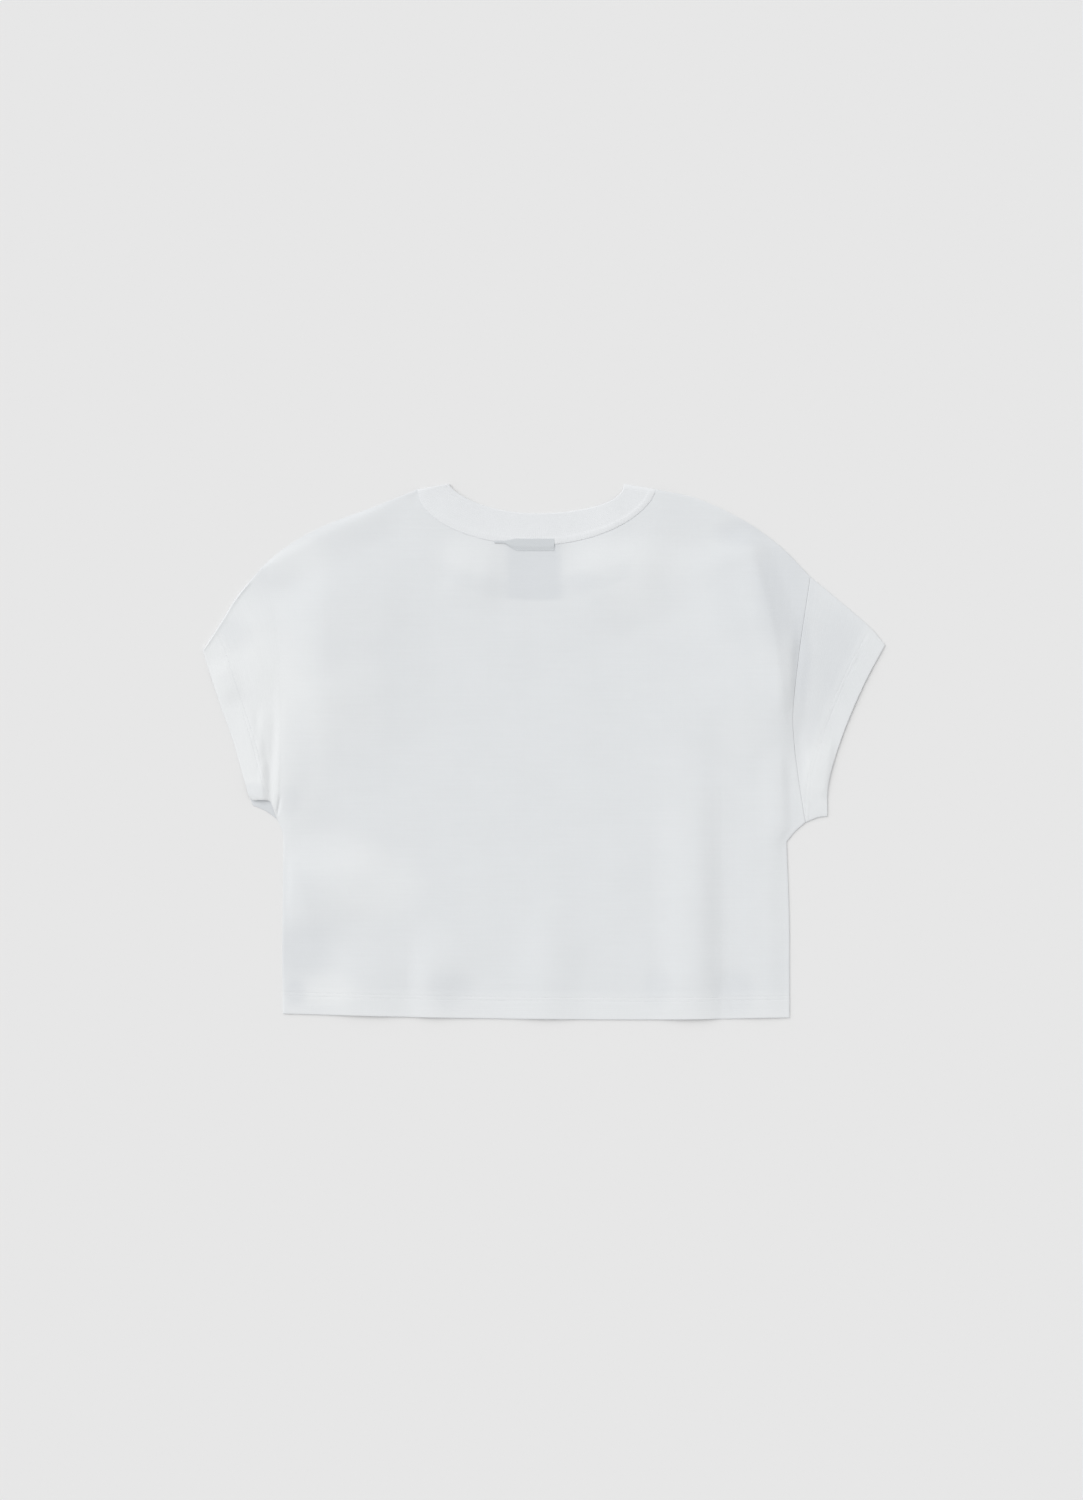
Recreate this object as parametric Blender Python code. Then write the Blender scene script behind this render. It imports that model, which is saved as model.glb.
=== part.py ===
"""A crop top with short cap sleeves, laid flat on its front, so that its back is up.

Sizes are in millimetres. x runs across the garment from its centre line, y runs up from the hem, and z up
from the surface that it lies on. The front panel, the front half of the neckband and the lower half of each
sleeve rest on z = 0. The upper layer lies on them, lifted here and there by its folds. At the end everything
is scaled to metres and hung under one empty that centres it.
"""

from collections import namedtuple

import bmesh
import bpy
import numpy as np

MM = 0.001

# Cloth
JERSEY = 1.2  # one layer
DOUBLE = 2.0  # a turned hem, or the folded rib of the neckband
GAP = 0.3  # between pieces at a seam, and between layers
BAND_CLEARANCE = 0.5  # between the front half of the neckband and what lies over it
LABEL_THICKNESS = 0.8
LABEL_CLEARANCE = 0.4  # the label is sewn on at its ends and stands a little off the cloth

# Hems
HEM_DEPTH = 18.0
HEM_STEP = 4.0  # the stretch in which a hem thins down to one layer

# Neck: the back and the front neckline each hang between the same two neck points. The left and right power
# of the seam say how pointed each half of it is, where 1 gives a quarter of an ellipse, and the edge powers
# say the same of the neckband's inner edge. The back has lain down a little skewed.
NECK_HALF_WIDTH = 107.0
NECK_POINT_HEIGHT = 477.0  # above the hem
Neckline = namedtuple("Neckline", "drop seam_left seam_right edge_left edge_right")
BACK_NECK = Neckline(50.0, 1.0, 1.25, 1.4, 0.9)
FRONT_NECK = Neckline(130.0, 1.0, 1.0, 1.0, 1.0)
NECKBAND_WIDTH = 28.5
NECKBAND_RISE = 5.0  # how far the band's inner edge climbs past the neck point
BAND_SLOPE = (2.0, 14.0)  # the stretch outside the front neck seam where the back comes down to the front
HOLE_SLOPE = (4.0, 17.0)  # and the one inside the front neckband where it comes down to the surface

# Label over the back neck seam
LABEL_LEFT = -38.0
LABEL_RIGHT = 16.0
LABEL_BOTTOM = 421.5
LABEL_TOP = 433.0
LABEL_STEP = (-5.0, -1.0)  # the stretch below the neck seam where the label climbs on to the band
LABEL_COLUMNS = 15
LABEL_ROWS = 5

# Folded edges
FOLD_EDGE = 0.4  # the upright part of a panel's edge at a fold
FOLD_ROUND = 2.6  # how far in from a fold the cloth is rounded over
SEAM_DIP = 0.45  # how much a panel thins at a sewn edge
LIFT_FADE = 9.0  # how far in from a folded edge the folds reach their height
SHARP_ANGLE = 50.0  # edges that turn more than this are drawn sharp

# Points on a smooth line
PER_KNOT = 24
PER_SIDE_LINE = 120
PER_HEM = 160
PER_CREST = 60

Knot = namedtuple("Knot", "left_x left_y right_x right_y")

# The outline, from the neck point round to the hem. The two sides lie a little differently.
SHOULDER = (
    Knot(-107.0, 477.0, 107.0, 477.0),
    Knot(-147.0, 461.0, 144.0, 469.0),
    Knot(-194.0, 443.0, 185.0, 450.0),
    Knot(-227.0, 424.0, 219.0, 426.0),
    Knot(-247.0, 407.0, 246.3, 398.4),
)
SLEEVE_TOP = (
    Knot(-247.0, 407.0, 246.3, 398.4),
    Knot(-269.0, 381.0, 271.0, 378.0),
    Knot(-283.0, 358.5, 299.0, 354.0),
    Knot(-300.3, 332.0, 313.7, 337.0),
)
CUFF = (
    Knot(-300.3, 332.0, 313.7, 337.0),
    Knot(-287.0, 290.0, 294.0, 300.0),
    Knot(-274.0, 252.0, 275.0, 254.7),
    Knot(-264.0, 214.0, 263.0, 214.0),
    Knot(-258.0, 194.5, 261.7, 183.0),
)
UNDER_SLEEVE = (
    Knot(-258.0, 194.5, 261.7, 183.0),
    Knot(-247.0, 190.0, 253.0, 181.8),
    Knot(-233.7, 180.5, 241.8, 177.3),
)
ARMHOLE = (
    Knot(-247.0, 407.0, 246.3, 398.4),
    Knot(-237.6, 377.0, 243.0, 378.0),
    Knot(-231.8, 332.0, 236.0, 330.0),
    Knot(-230.5, 287.0, 230.6, 280.0),
    Knot(-230.0, 245.0, 231.6, 250.0),
    Knot(-230.4, 212.0, 236.0, 214.0),
    Knot(-233.7, 180.5, 241.8, 177.3),
)
UNDERARM = (
    Knot(-233.7, 180.5, 241.8, 177.3),
    Knot(-229.5, 172.0, 232.7, 169.3),
    Knot(-227.7, 163.0, 225.0, 160.0),
)
SIDE = (
    Knot(-227.7, 163.0, 225.0, 160.0),
    Knot(-228.2, 114.0, 227.3, 95.0),
    Knot(-228.6, 66.0, 227.6, 45.0),
    Knot(-228.2, 5.4, 227.7, 1.8),
)
HEM = ((-228.2, 5.4), (-142.0, 3.0), (-77.0, 1.6), (3.6, 0.5), (112.0, 0.0), (227.7, 1.8))

# Folds of the upper layer. Each has a crest from start through middle to end, a height, the reach of its
# flanks to the left and right of the crest, and the shares of its length in which it dies away.
Fold = namedtuple("Fold", "name start middle end height left right fade_start fade_end")
FOLDS = (
    Fold("hem, far left", (-152, -12), (-151, 30), (-156, 96), 3.0, 46, 44, 0, 0.7),
    Fold("hem, left", (-92, -12), (-94, 30), (-90, 96), 3.0, 24, 46, 0, 0.7),
    Fold("hem, centre", (8, -12), (12, 50), (4, 130), 2.6, 38, 36, 0, 0.7),
    Fold("long, right of centre", (144, -12), (144, 120), (138, 320), 4.0, 44, 27, 0, 0.75),
    Fold("right side, low", (208, -12), (206, 100), (212, 250), 1.0, 34, 20, 0, 0.4),
    Fold("right side, high", (220, 205), (213, 336), (182, 444), 3.6, 84, 26, 0.35, 0.12),
    Fold("right shoulder", (214, 232), (214, 320), (198, 416), 3.2, 160, 95, 0.4, 0.35),
    Fold("right underarm", (223, 150), (220.5, 206), (218, 250), 1.2, 24, 8, 0.25, 0.3),
    Fold("left shoulder", (-176, 215), (-186, 330), (-182, 436), 5.0, 50, 100, 0.4, 0.3),
    Fold("left side, low", (-236, 112), (-190, 122), (-122, 136), 3.4, 48, 66, 0.25, 0.6),
    Fold("right sleeve", (308, 342), (290, 290), (268, 214), 1.0, 20, 14, 0.3, 0.15),
    Fold("left sleeve", (-262, 290), (-252.5, 245), (-249.5, 194), 2.4, 27, 9.5, 0.45, 0.04),
    Fold("left cuff corner", (-255, 222), (-251, 206), (-247, 188), 2.6, 16, 8, 0.7, 0.04),
    Fold("left armhole ridge", (-230, 330), (-229.5, 250), (-236, 150), 2.2, 9, 60, 0.6, 0.4),
)


def smooth(knots, count):
    """count points, evenly spaced, on a smooth curve through the knots."""
    knots = np.array(knots, float)
    ends = np.vstack([2 * knots[0] - knots[1], knots, 2 * knots[-1] - knots[-2]])
    dense = []
    for before, start, end, after in zip(ends, ends[1:], ends[2:], ends[3:]):
        t = np.linspace(0, 1, PER_KNOT, endpoint=False)[:, None]
        dense.append(
            0.5 * (2 * start + (end - before) * t + (2 * before - 5 * start + 4 * end - after) * t**2
                   + (3 * start - before - 3 * end + after) * t**3)
        )
    return along(np.vstack([*dense, knots[-1:]]), np.linspace(0, 1, count))


def along(line, shares):
    """The points of a line at these shares of its length."""
    steps = np.linalg.norm(np.diff(line, axis=0), axis=1)
    run = np.concatenate([[0], np.cumsum(steps)])
    at = np.asarray(shares) * run[-1]
    return np.stack([np.interp(at, run, line[:, k]) for k in range(line.shape[1])], axis=1)


def side_of(table, side):
    """One side's knots from a table, as a finely sampled smooth line."""
    knots = [(k.left_x, k.left_y) if side < 0 else (k.right_x, k.right_y) for k in table]
    return smooth(knots, PER_SIDE_LINE)


def neck_line(neck, inset, shares):
    """A neckline from its left end to its right end. inset is how far inside the seam it runs."""
    turn = np.pi * np.asarray(shares)
    is_left = turn < np.pi / 2
    seam_power = np.where(is_left, neck.seam_left, neck.seam_right)
    edge_power = np.where(is_left, neck.edge_left, neck.edge_right)
    power = seam_power + (edge_power - seam_power) * max(inset, 0) / NECKBAND_WIDTH
    rise = NECKBAND_RISE * inset / NECKBAND_WIDTH
    x = -(NECK_HALF_WIDTH - inset) * np.cos(turn)
    y = NECK_POINT_HEIGHT + rise - (neck.drop - inset + rise) * np.sin(turn) ** power
    return np.stack([x, y], axis=1)


def back_seam(x):
    """How far up the back neck seam is."""
    power = np.where(x < 0, BACK_NECK.seam_left, BACK_NECK.seam_right)
    return NECK_POINT_HEIGHT - BACK_NECK.drop * (1 - (x / NECK_HALF_WIDTH) ** 2) ** (power / 2)


def step(value, start, end):
    """0 below start, 1 above end, and a smooth rise between."""
    t = np.clip((value - start) / (end - start), 0, 1)
    return t * t * (3 - 2 * t)


def distance(points, line):
    """How far each point is from a line."""
    starts, runs = line[:-1], np.diff(line, axis=0)
    away = points[:, None, :] - starts[None]
    t = np.clip((away * runs).sum(2) / (runs * runs).sum(1), 0, 1)
    return np.linalg.norm(away - t[..., None] * runs, axis=2).min(axis=1)


HEM_LINE = smooth(HEM, PER_HEM)
CUFF_LINES = {side: side_of(CUFF, side) for side in (-1, 1)}
FOLDED_EDGES = [
    side_of(table, side)
    for table in (SHOULDER, SLEEVE_TOP, UNDER_SLEEVE, UNDERARM, SIDE)
    for side in (-1, 1)
]


def hem_share(points):
    """1 where the cloth is turned up double at the hem or a cuff, 0 elsewhere."""
    turned_edges = (HEM_LINE, *CUFF_LINES.values())
    nearest = np.min([distance(points, line) for line in turned_edges], axis=0)
    return 1 - step(nearest, HEM_DEPTH, HEM_DEPTH + HEM_STEP)


def fold_height(points, fold):
    """How far one fold lifts each point."""
    crest = smooth((fold.start, fold.middle, fold.end), PER_CREST)
    away = points[:, None, :] - crest[None]
    nearest = np.linalg.norm(away, axis=2).argmin(axis=1)
    share = nearest / (len(crest) - 1)
    direction = np.gradient(crest, axis=0)[nearest]
    offset = away[np.arange(len(points)), nearest]
    is_left = direction[:, 0] * offset[:, 1] - direction[:, 1] * offset[:, 0] > 0
    # A crest that runs down the page has its own left on the page's right.
    if fold.end[1] < fold.start[1]:
        is_left = ~is_left
    reach = np.where(is_left, fold.left, fold.right)
    height = fold.height * np.cos(np.pi / 2 * np.clip(np.linalg.norm(offset, axis=1) / reach, 0, 1)) ** 2
    for from_end, fade in ((share, fold.fade_start), (1 - share, fold.fade_end)):
        if fade:
            height *= step(from_end, 0, fade)
    return height


def lift(points):
    """How far the folds lift the upper layer."""
    to_edge = np.min([distance(points, line) for line in FOLDED_EDGES], axis=0)
    return sum(fold_height(points, fold) for fold in FOLDS) * step(to_edge, 0, LIFT_FADE)


def under_neck(points):
    """(over the front neckband, over the open front neck): shares of each, for the cloth above them."""
    across = points[:, 0]
    below = NECK_POINT_HEIGHT - points[:, 1]
    seam = np.hypot(across / NECK_HALF_WIDTH, below / FRONT_NECK.drop)
    inner_half = NECK_HALF_WIDTH - NECKBAND_WIDTH
    inner_drop = FRONT_NECK.drop - NECKBAND_WIDTH
    inner = np.hypot(across / inner_half, (below + NECKBAND_RISE) / (inner_drop + NECKBAND_RISE))
    outside_band = (seam - 1) * NECK_HALF_WIDTH
    inside_hole = (1 - inner) * inner_half
    return 1 - step(outside_band, *BAND_SLOPE), step(inside_hole, *HOLE_SLOPE)


def lower_thickness(points):
    """The lower layer of a panel or sleeve."""
    return JERSEY + (DOUBLE - JERSEY) * hem_share(points)


def upper_base(points):
    """The underside of the upper layer."""
    over_band, over_hole = under_neck(points)
    on_panel = lower_thickness(points) + GAP
    on_band = DOUBLE + BAND_CLEARANCE
    resting = on_panel + (on_band - on_panel) * over_band
    return resting + (GAP - resting) * over_hole + lift(points)


def fill(bottom, top, left, right, across, up, reach):
    """A grid inside four border lines: bottom and top run left to right, left and right run upwards.

    Even rows and columns between the corners are bent to the borders. The bend of a side line fades out over
    reach, a share of the width. The rows turn to the shape of the top line late.
    """
    u, v = np.asarray(across)[None, :, None], np.asarray(up)[:, None, None]
    sides = {0: (1 - v) * bottom[0] + v * top[0], 1: (1 - v) * bottom[-1] + v * top[-1]}
    ends = {0: (1 - u) * bottom[0] + u * bottom[-1], 1: (1 - u) * top[0] + u * top[-1]}
    near_left = np.clip(1 - u / reach, 0, 1) ** 2
    near_right = np.clip(1 - (1 - u) / reach, 0, 1) ** 2
    return (
        (1 - u) * sides[0] + u * sides[1]
        + near_left * (left[:, None] - sides[0]) + near_right * (right[:, None] - sides[1])
        + (1 - v**2) * (bottom[None] - ends[0]) + v**2 * (top[None] - ends[1])
    )


def shares(distances):
    """Distances along a line as shares of the last one."""
    return np.array(distances, float) / distances[-1]


# Grid lines along each stretch, as distances in millimetres. They crowd where the cloth bends.
BACK_FROM_FOLD = (0, 1, FOLD_ROUND, 8, 17, 28, 42, 60, 84, 119)
BACK_UP_SIDE = (0, 1, 9, 17, 22, 36, 54, 74, 96, 118, 140, 160)
FRONT_FROM_FOLD = (0, 1, FOLD_ROUND, 22, 56, 119)
FRONT_UP_SIDE = (0, 1, 17, 22, 60, 110, 160)
ARMHOLE_ROWS = (0, 1, FOLD_ROUND, 10, 25, 45, 69, 95, 121, 147, 172, 194, 211, 221, 227, 229, 230)
UNDERARM_ROWS = 2
SLEEVE_STATIONS = (0, 3, 7, 13, 21, 32, 44, 47, 56, 66)  # from the armhole to the cuff
BAND_ACROSS = np.array([0, 1, 14.0, NECKBAND_WIDTH - 1, NECKBAND_WIDTH])  # from the seam to the inner edge

# The neck's own columns, as shares of its half turn. The band and both panels share all but the ends, so
# that the seam between them keeps an even gap.
NECK_END = (0, 0.004, 0.02)
BAND_INSIDE_END = (0.012, 0.016, 0.024)
NECK_MIDDLE = np.linspace(0.06, 0.94, 16)


def neck_turns(end):
    """Shares of the half turn from the left shoulder to the right, crowded at both ends."""
    return np.concatenate([end, NECK_MIDDLE, np.subtract(1, end[::-1])])


NECK_TURNS = neck_turns(NECK_END)


def join(*lines):
    """Lines that follow on from each other, as one, with each shared point once."""
    return np.vstack([lines[0], *[line[1:] for line in lines[1:]]])


def body_plan(neck, from_fold, up_side):
    """The plan of a body panel as a grid, with its neck edge held off the neckband's seam.

    Also gives the row at which the armhole starts, and how many columns each shoulder takes.
    """
    inward = shares(from_fold)
    seam = neck_line(neck, -GAP, NECK_TURNS)
    shoulders = {side: along(side_of(SHOULDER, side)[::-1], inward)[:-1] for side in (-1, 1)}
    top = np.vstack([shoulders[-1], seam, shoulders[1][::-1]])
    width = HEM[-1][0] - HEM[0][0]
    shoulder_left = (-NECK_HALF_WIDTH - HEM[0][0]) / width
    shoulder_right = (HEM[-1][0] - NECK_HALF_WIDTH) / width
    neck_share = (seam[:, 0] - seam[0, 0]) / (seam[-1, 0] - seam[0, 0])
    across = np.concatenate([
        shoulder_left * inward[:-1],
        shoulder_left + (1 - shoulder_left - shoulder_right) * neck_share,
        1 - shoulder_right * inward[-2::-1],
    ])
    borders = {
        side: join(
            along(side_of(SIDE, side)[::-1], shares(up_side)),
            along(side_of(UNDERARM, side)[::-1], np.linspace(0, 1, UNDERARM_ROWS + 1)),
            along(side_of(ARMHOLE, side)[::-1], shares(ARMHOLE_ROWS)),
        )
        for side in (-1, 1)
    }
    climb = np.linalg.norm(np.diff(borders[-1], axis=0), axis=1)
    up = np.concatenate([[0], np.cumsum(climb)]) / climb.sum()
    reach = min(shoulder_left, shoulder_right)
    plan = fill(along(HEM_LINE, across), top, borders[-1], borders[1], across, up, reach)
    return plan, len(up_side) - 1 + UNDERARM_ROWS, len(from_fold) - 1


def rounding(away, reach):
    """0 at an edge and 1 from reach inwards, as a quarter circle."""
    return np.sqrt(1 - (1 - np.clip(away / reach, 0, 1)) ** 2)


def body_rounding(plan, seam_row, shoulder_columns):
    """How full the panel is at each grid point: thin at a folded edge, and a little dipped at a seam."""
    away_left = np.linalg.norm(plan - plan[:, :1], axis=2)
    away_right = np.linalg.norm(plan - plan[:, -1:], axis=2)
    away_top = np.linalg.norm(plan - plan[-1:], axis=2)
    fold_full = np.minimum(rounding(away_left, FOLD_ROUND), rounding(away_right, FOLD_ROUND))
    full = np.ones(plan.shape[:2])
    full[: seam_row + 1] = fold_full[: seam_row + 1]
    dip = SEAM_DIP / (JERSEY - FOLD_EDGE)
    full[seam_row + 1 :] = 1 - dip * (1 - fold_full[seam_row + 1 :])
    top_full = rounding(away_top, FOLD_ROUND)
    neck_part = slice(shoulder_columns + 1, -shoulder_columns - 1)
    top_full[:, neck_part] = 1 - dip * (1 - top_full[:, neck_part])
    return np.minimum(full, top_full)


def on_plan(height, plan):
    """A function of points, worked out over a grid."""
    return height(plan.reshape(-1, 2)).reshape(plan.shape[:2])


def raised(plan, z):
    """Plan points with their heights."""
    return np.concatenate([plan, z[..., None]], axis=2)


def cloth(name, skin, lining, is_tube, colour, roughness):
    """A named wall of cloth between two grids of points. The columns of a tube close on themselves."""
    rows, columns = skin.shape[:2]
    made = bmesh.new()
    grids = [[[made.verts.new(point * MM) for point in row] for row in side] for side in (skin, lining)]
    beside = [(k, k + 1) for k in range(columns - 1)]
    rims = [((row, a), (row, b)) for row in (0, rows - 1) for a, b in beside]
    if is_tube:
        beside.append((columns - 1, 0))
        rims += [((row, columns - 1), (row, 0)) for row in (0, rows - 1)]
    else:
        rims += [((row, side), (row + 1, side)) for row in range(rows - 1) for side in (0, columns - 1)]
    for grid in grids:
        for here, above in zip(grid, grid[1:]):
            for a, b in beside:
                made.faces.new((here[a], here[b], above[b]))
                made.faces.new((here[a], above[b], above[a]))
    for (row, column), (next_row, next_column) in rims:
        made.faces.new((
            grids[0][row][column], grids[0][next_row][next_column],
            grids[1][next_row][next_column], grids[1][row][column],
        ))
    bmesh.ops.recalc_face_normals(made, faces=made.faces[:])
    mesh = bpy.data.meshes.new(name)
    made.to_mesh(mesh)
    made.free()
    material = bpy.data.materials.new(name + "_cloth")
    material.use_nodes = True
    shader = material.node_tree.nodes["Principled BSDF"]
    shader.inputs["Base Color"].default_value = (*colour, 1)
    shader.inputs["Roughness"].default_value = roughness
    shader.inputs["Metallic"].default_value = 0
    mesh.materials.append(material)
    mesh.shade_smooth()
    mesh.set_sharp_from_angle(angle=np.radians(SHARP_ANGLE))
    bpy.context.scene.collection.objects.link(bpy.data.objects.new(name, mesh))


def panel(name, plan, low, high, colour, roughness):
    """A flat piece between its underside and its upper side."""
    cloth(name, raised(plan, low), raised(plan, high), False, colour, roughness)


WHITE = (0.80, 0.81, 0.82)
RIB_WHITE = (0.84, 0.84, 0.85)
LABEL_GREY = (0.58, 0.60, 0.62)
JERSEY_ROUGHNESS = 0.9
RIB_ROUGHNESS = 0.92
LABEL_ROUGHNESS = 0.7


def back_panel():
    """The back, over everything else but the label."""
    plan, seam_row, columns = body_plan(BACK_NECK, BACK_FROM_FOLD, BACK_UP_SIDE)
    low = on_plan(upper_base, plan)
    full = body_rounding(plan, seam_row, columns)
    high = low + FOLD_EDGE + (on_plan(lower_thickness, plan) - FOLD_EDGE) * full
    panel("back_panel", plan, low, high, WHITE, JERSEY_ROUGHNESS)


def front_panel():
    """The front, flat on the surface, rounded up at its folded edges."""
    plan, seam_row, columns = body_plan(FRONT_NECK, FRONT_FROM_FOLD, FRONT_UP_SIDE)
    high = on_plan(lower_thickness, plan)
    full = body_rounding(plan, seam_row, columns)
    panel("front_panel", plan, (high - FOLD_EDGE) * (1 - full), high, WHITE, JERSEY_ROUGHNESS)


def sleeve_plan(side, inset):
    """The plan of a sleeve: rows from armhole to cuff, columns from its top fold to its under fold."""
    armhole = side_of(ARMHOLE, side) + [side * GAP, 0]
    length = np.linalg.norm(np.diff(armhole, axis=0), axis=1).sum()
    down = 1 - shares(ARMHOLE_ROWS)[::-1]
    down = inset / length + down * (1 - 2 * inset / length)
    top = join(armhole[:1], side_of(SLEEVE_TOP, side)[1:])
    under = join(armhole[-1:], side_of(UNDER_SLEEVE, side)[::-1][1:])
    outward = shares(SLEEVE_STATIONS)
    return fill(
        along(armhole, down), along(CUFF_LINES[side], down), along(top, outward), along(under, outward),
        down, outward, reach=1,
    )


def sleeve(name, side):
    """A short sleeve pressed flat: an upper and a lower layer, joined along both folds."""
    plan = sleeve_plan(side, 0)
    inner_plan = sleeve_plan(side, JERSEY)
    from_top = np.linalg.norm(plan - plan[:, :1], axis=2)
    from_under = np.linalg.norm(plan - plan[:, -1:], axis=2)
    from_seam = np.linalg.norm(plan - plan[:1], axis=2)
    full = np.minimum(rounding(from_top, FOLD_ROUND), rounding(from_under, FOLD_ROUND))
    thickness = on_plan(lower_thickness, plan)
    dip = SEAM_DIP * (1 - rounding(from_seam, FOLD_ROUND))
    lower = dip + (thickness - dip - FOLD_EDGE) * (1 - full)
    upper = on_plan(upper_base, plan) + FOLD_EDGE + (thickness - dip - FOLD_EDGE) * full
    floor = on_plan(lower_thickness, inner_plan)
    roof = on_plan(upper_base, inner_plan)
    outer = np.concatenate([raised(plan, upper), raised(plan, lower)[:, ::-1]], axis=1)
    inner = np.concatenate([raised(inner_plan, roof), raised(inner_plan, floor)[:, ::-1]], axis=1)
    cloth(name, outer, inner, True, WHITE, JERSEY_ROUGHNESS)


def neckband():
    """The folded rib band, pressed flat: its back half rises over its front half at both shoulders."""
    back, front, back_inside, front_inside = (
        np.stack([neck_line(neck, inset, turns) for inset in BAND_ACROSS])
        for turns in (NECK_TURNS, neck_turns(BAND_INSIDE_END))
        for neck in (BACK_NECK, FRONT_NECK)
    )
    full = rounding(np.minimum(NECK_TURNS, 1 - NECK_TURNS), NECK_END[-1])[None]
    from_edge = np.minimum(BAND_ACROSS, NECKBAND_WIDTH - BAND_ACROSS)
    dip = SEAM_DIP * (1 - rounding(from_edge, BAND_ACROSS[1]))[:, None]
    upper = on_plan(upper_base, back) + FOLD_EDGE + (DOUBLE - dip - FOLD_EDGE) * full
    lower = dip + (DOUBLE - dip - FOLD_EDGE) * (1 - full)
    roof = on_plan(upper_base, back_inside)
    floor = np.full(front_inside.shape[:2], DOUBLE)
    outer = np.concatenate([raised(back, upper), raised(front, lower)[:, ::-1]], axis=1)
    inner = np.concatenate([raised(back_inside, roof), raised(front_inside, floor)[:, ::-1]], axis=1)
    cloth("neckband", outer, inner, True, RIB_WHITE, RIB_ROUGHNESS)


def neck_label():
    """The small plain label that lies over the back neck seam."""
    x = np.linspace(LABEL_LEFT, LABEL_RIGHT, LABEL_COLUMNS)
    y = np.linspace(LABEL_BOTTOM, LABEL_TOP, LABEL_ROWS)
    plan = np.stack(np.meshgrid(x, y), axis=2)
    on_band = step(plan[..., 1] - back_seam(plan[..., 0]), *LABEL_STEP)
    low = on_plan(upper_base, plan) + JERSEY + (DOUBLE - JERSEY) * on_band + LABEL_CLEARANCE
    panel("neck_label", plan, low, low + LABEL_THICKNESS, LABEL_GREY, LABEL_ROUGHNESS)


def centre():
    """Hangs every piece under one empty, so that the middle of the garment's plan is at the origin."""
    band_ends = neck_line(BACK_NECK, NECKBAND_WIDTH, [0, 1])
    points = np.vstack([*FOLDED_EDGES, *CUFF_LINES.values(), HEM_LINE, band_ends])
    middle = (points.min(axis=0) + points.max(axis=0)) / 2
    empty = bpy.data.objects.new("crop_top", None)
    bpy.context.scene.collection.objects.link(empty)
    empty.location = (-middle[0] * MM, -middle[1] * MM, 0)
    for piece in bpy.context.scene.objects:
        if piece.type == "MESH":
            piece.parent = empty


def main():
    for old in list(bpy.data.objects):
        bpy.data.objects.remove(old)
    front_panel()
    back_panel()
    sleeve("sleeve_left", -1)
    sleeve("sleeve_right", 1)
    neckband()
    neck_label()
    centre()


main()
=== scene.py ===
# %% [markdown]
# # A white crop top, laid flat on its front
#
# The garment is sewn from a back, a front, two short sleeves and a folded rib neckband. A plain solid of
# each piece is loaded first and never changed. This lesson then lays fine cloth on those solids: the same
# pattern pieces with closer points, so that hems, seams, folds and stitches can be real shapes and not
# painted ones.
#
# Plan sizes are in millimetres. x runs across the garment from its centre line, y up from its hem, and z
# up from the surface that it lies on.

# %% Load the solids
from collections import namedtuple

import bmesh
import bpy
import numpy as np
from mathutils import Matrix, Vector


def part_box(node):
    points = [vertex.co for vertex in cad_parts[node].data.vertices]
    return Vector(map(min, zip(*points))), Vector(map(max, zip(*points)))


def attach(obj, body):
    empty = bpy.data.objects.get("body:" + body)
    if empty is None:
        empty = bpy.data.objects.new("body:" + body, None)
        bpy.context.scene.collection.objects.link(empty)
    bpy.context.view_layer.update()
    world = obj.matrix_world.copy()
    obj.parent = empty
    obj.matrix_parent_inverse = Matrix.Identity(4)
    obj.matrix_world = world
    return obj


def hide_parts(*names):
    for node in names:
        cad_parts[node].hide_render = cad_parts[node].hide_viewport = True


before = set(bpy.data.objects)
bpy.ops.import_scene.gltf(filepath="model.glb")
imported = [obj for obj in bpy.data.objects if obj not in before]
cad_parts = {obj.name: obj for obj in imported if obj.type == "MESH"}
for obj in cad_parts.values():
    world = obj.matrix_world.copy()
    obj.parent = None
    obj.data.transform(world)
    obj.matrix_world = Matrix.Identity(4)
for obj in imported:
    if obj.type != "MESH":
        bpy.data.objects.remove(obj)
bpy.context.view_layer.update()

MM = 0.001
print("solids:", sorted(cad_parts))

# %% [markdown]
# ## The camera
#
# A garment sold online is often laid on a table with the camera straight above it. A long lens keeps the
# edges of the cloth square. The height follows from the lens and from how much of the table has to show.

# %% Camera straight above
IMAGE_ROWS = 1500
ROW_SIZE = 0.9  # millimetres of table in one row of the image
VIEW_CENTRE = (-2.2, 1.6)
LENS = 80.0

camera_data = bpy.data.cameras.new("camera")
camera_data.lens = LENS
camera = bpy.data.objects.new("camera", camera_data)
view_height = IMAGE_ROWS * ROW_SIZE
camera_height = view_height * LENS / camera_data.sensor_width
camera.location = (VIEW_CENTRE[0] * MM, VIEW_CENTRE[1] * MM, camera_height * MM)
bpy.context.scene.collection.objects.link(camera)
bpy.context.scene.camera = camera
print(f"camera {camera_height:.0f} mm up, sees {view_height:.0f} mm of the table")

# %% [markdown]
# ## Colours and nodes
#
# Colours are written as the hex values of a paint chart. Cycles mixes light in linear values, so one
# function turns them. A second one adds a shader node with its settings and links, and every material
# uses it. It takes an input by its name, or by its number where a node has several inputs of one name.

# %% Helpers for colours and nodes


def linear(hex_colour):
    """An sRGB hex colour as linear red, green, blue and alpha."""
    parts = np.array([int(hex_colour[k : k + 2], 16) for k in (1, 3, 5)]) / 255
    low, high = parts / 12.92, ((parts + 0.055) / 1.055) ** 2.4
    return (*np.where(parts <= 0.04045, low, high).tolist(), 1.0)


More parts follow.
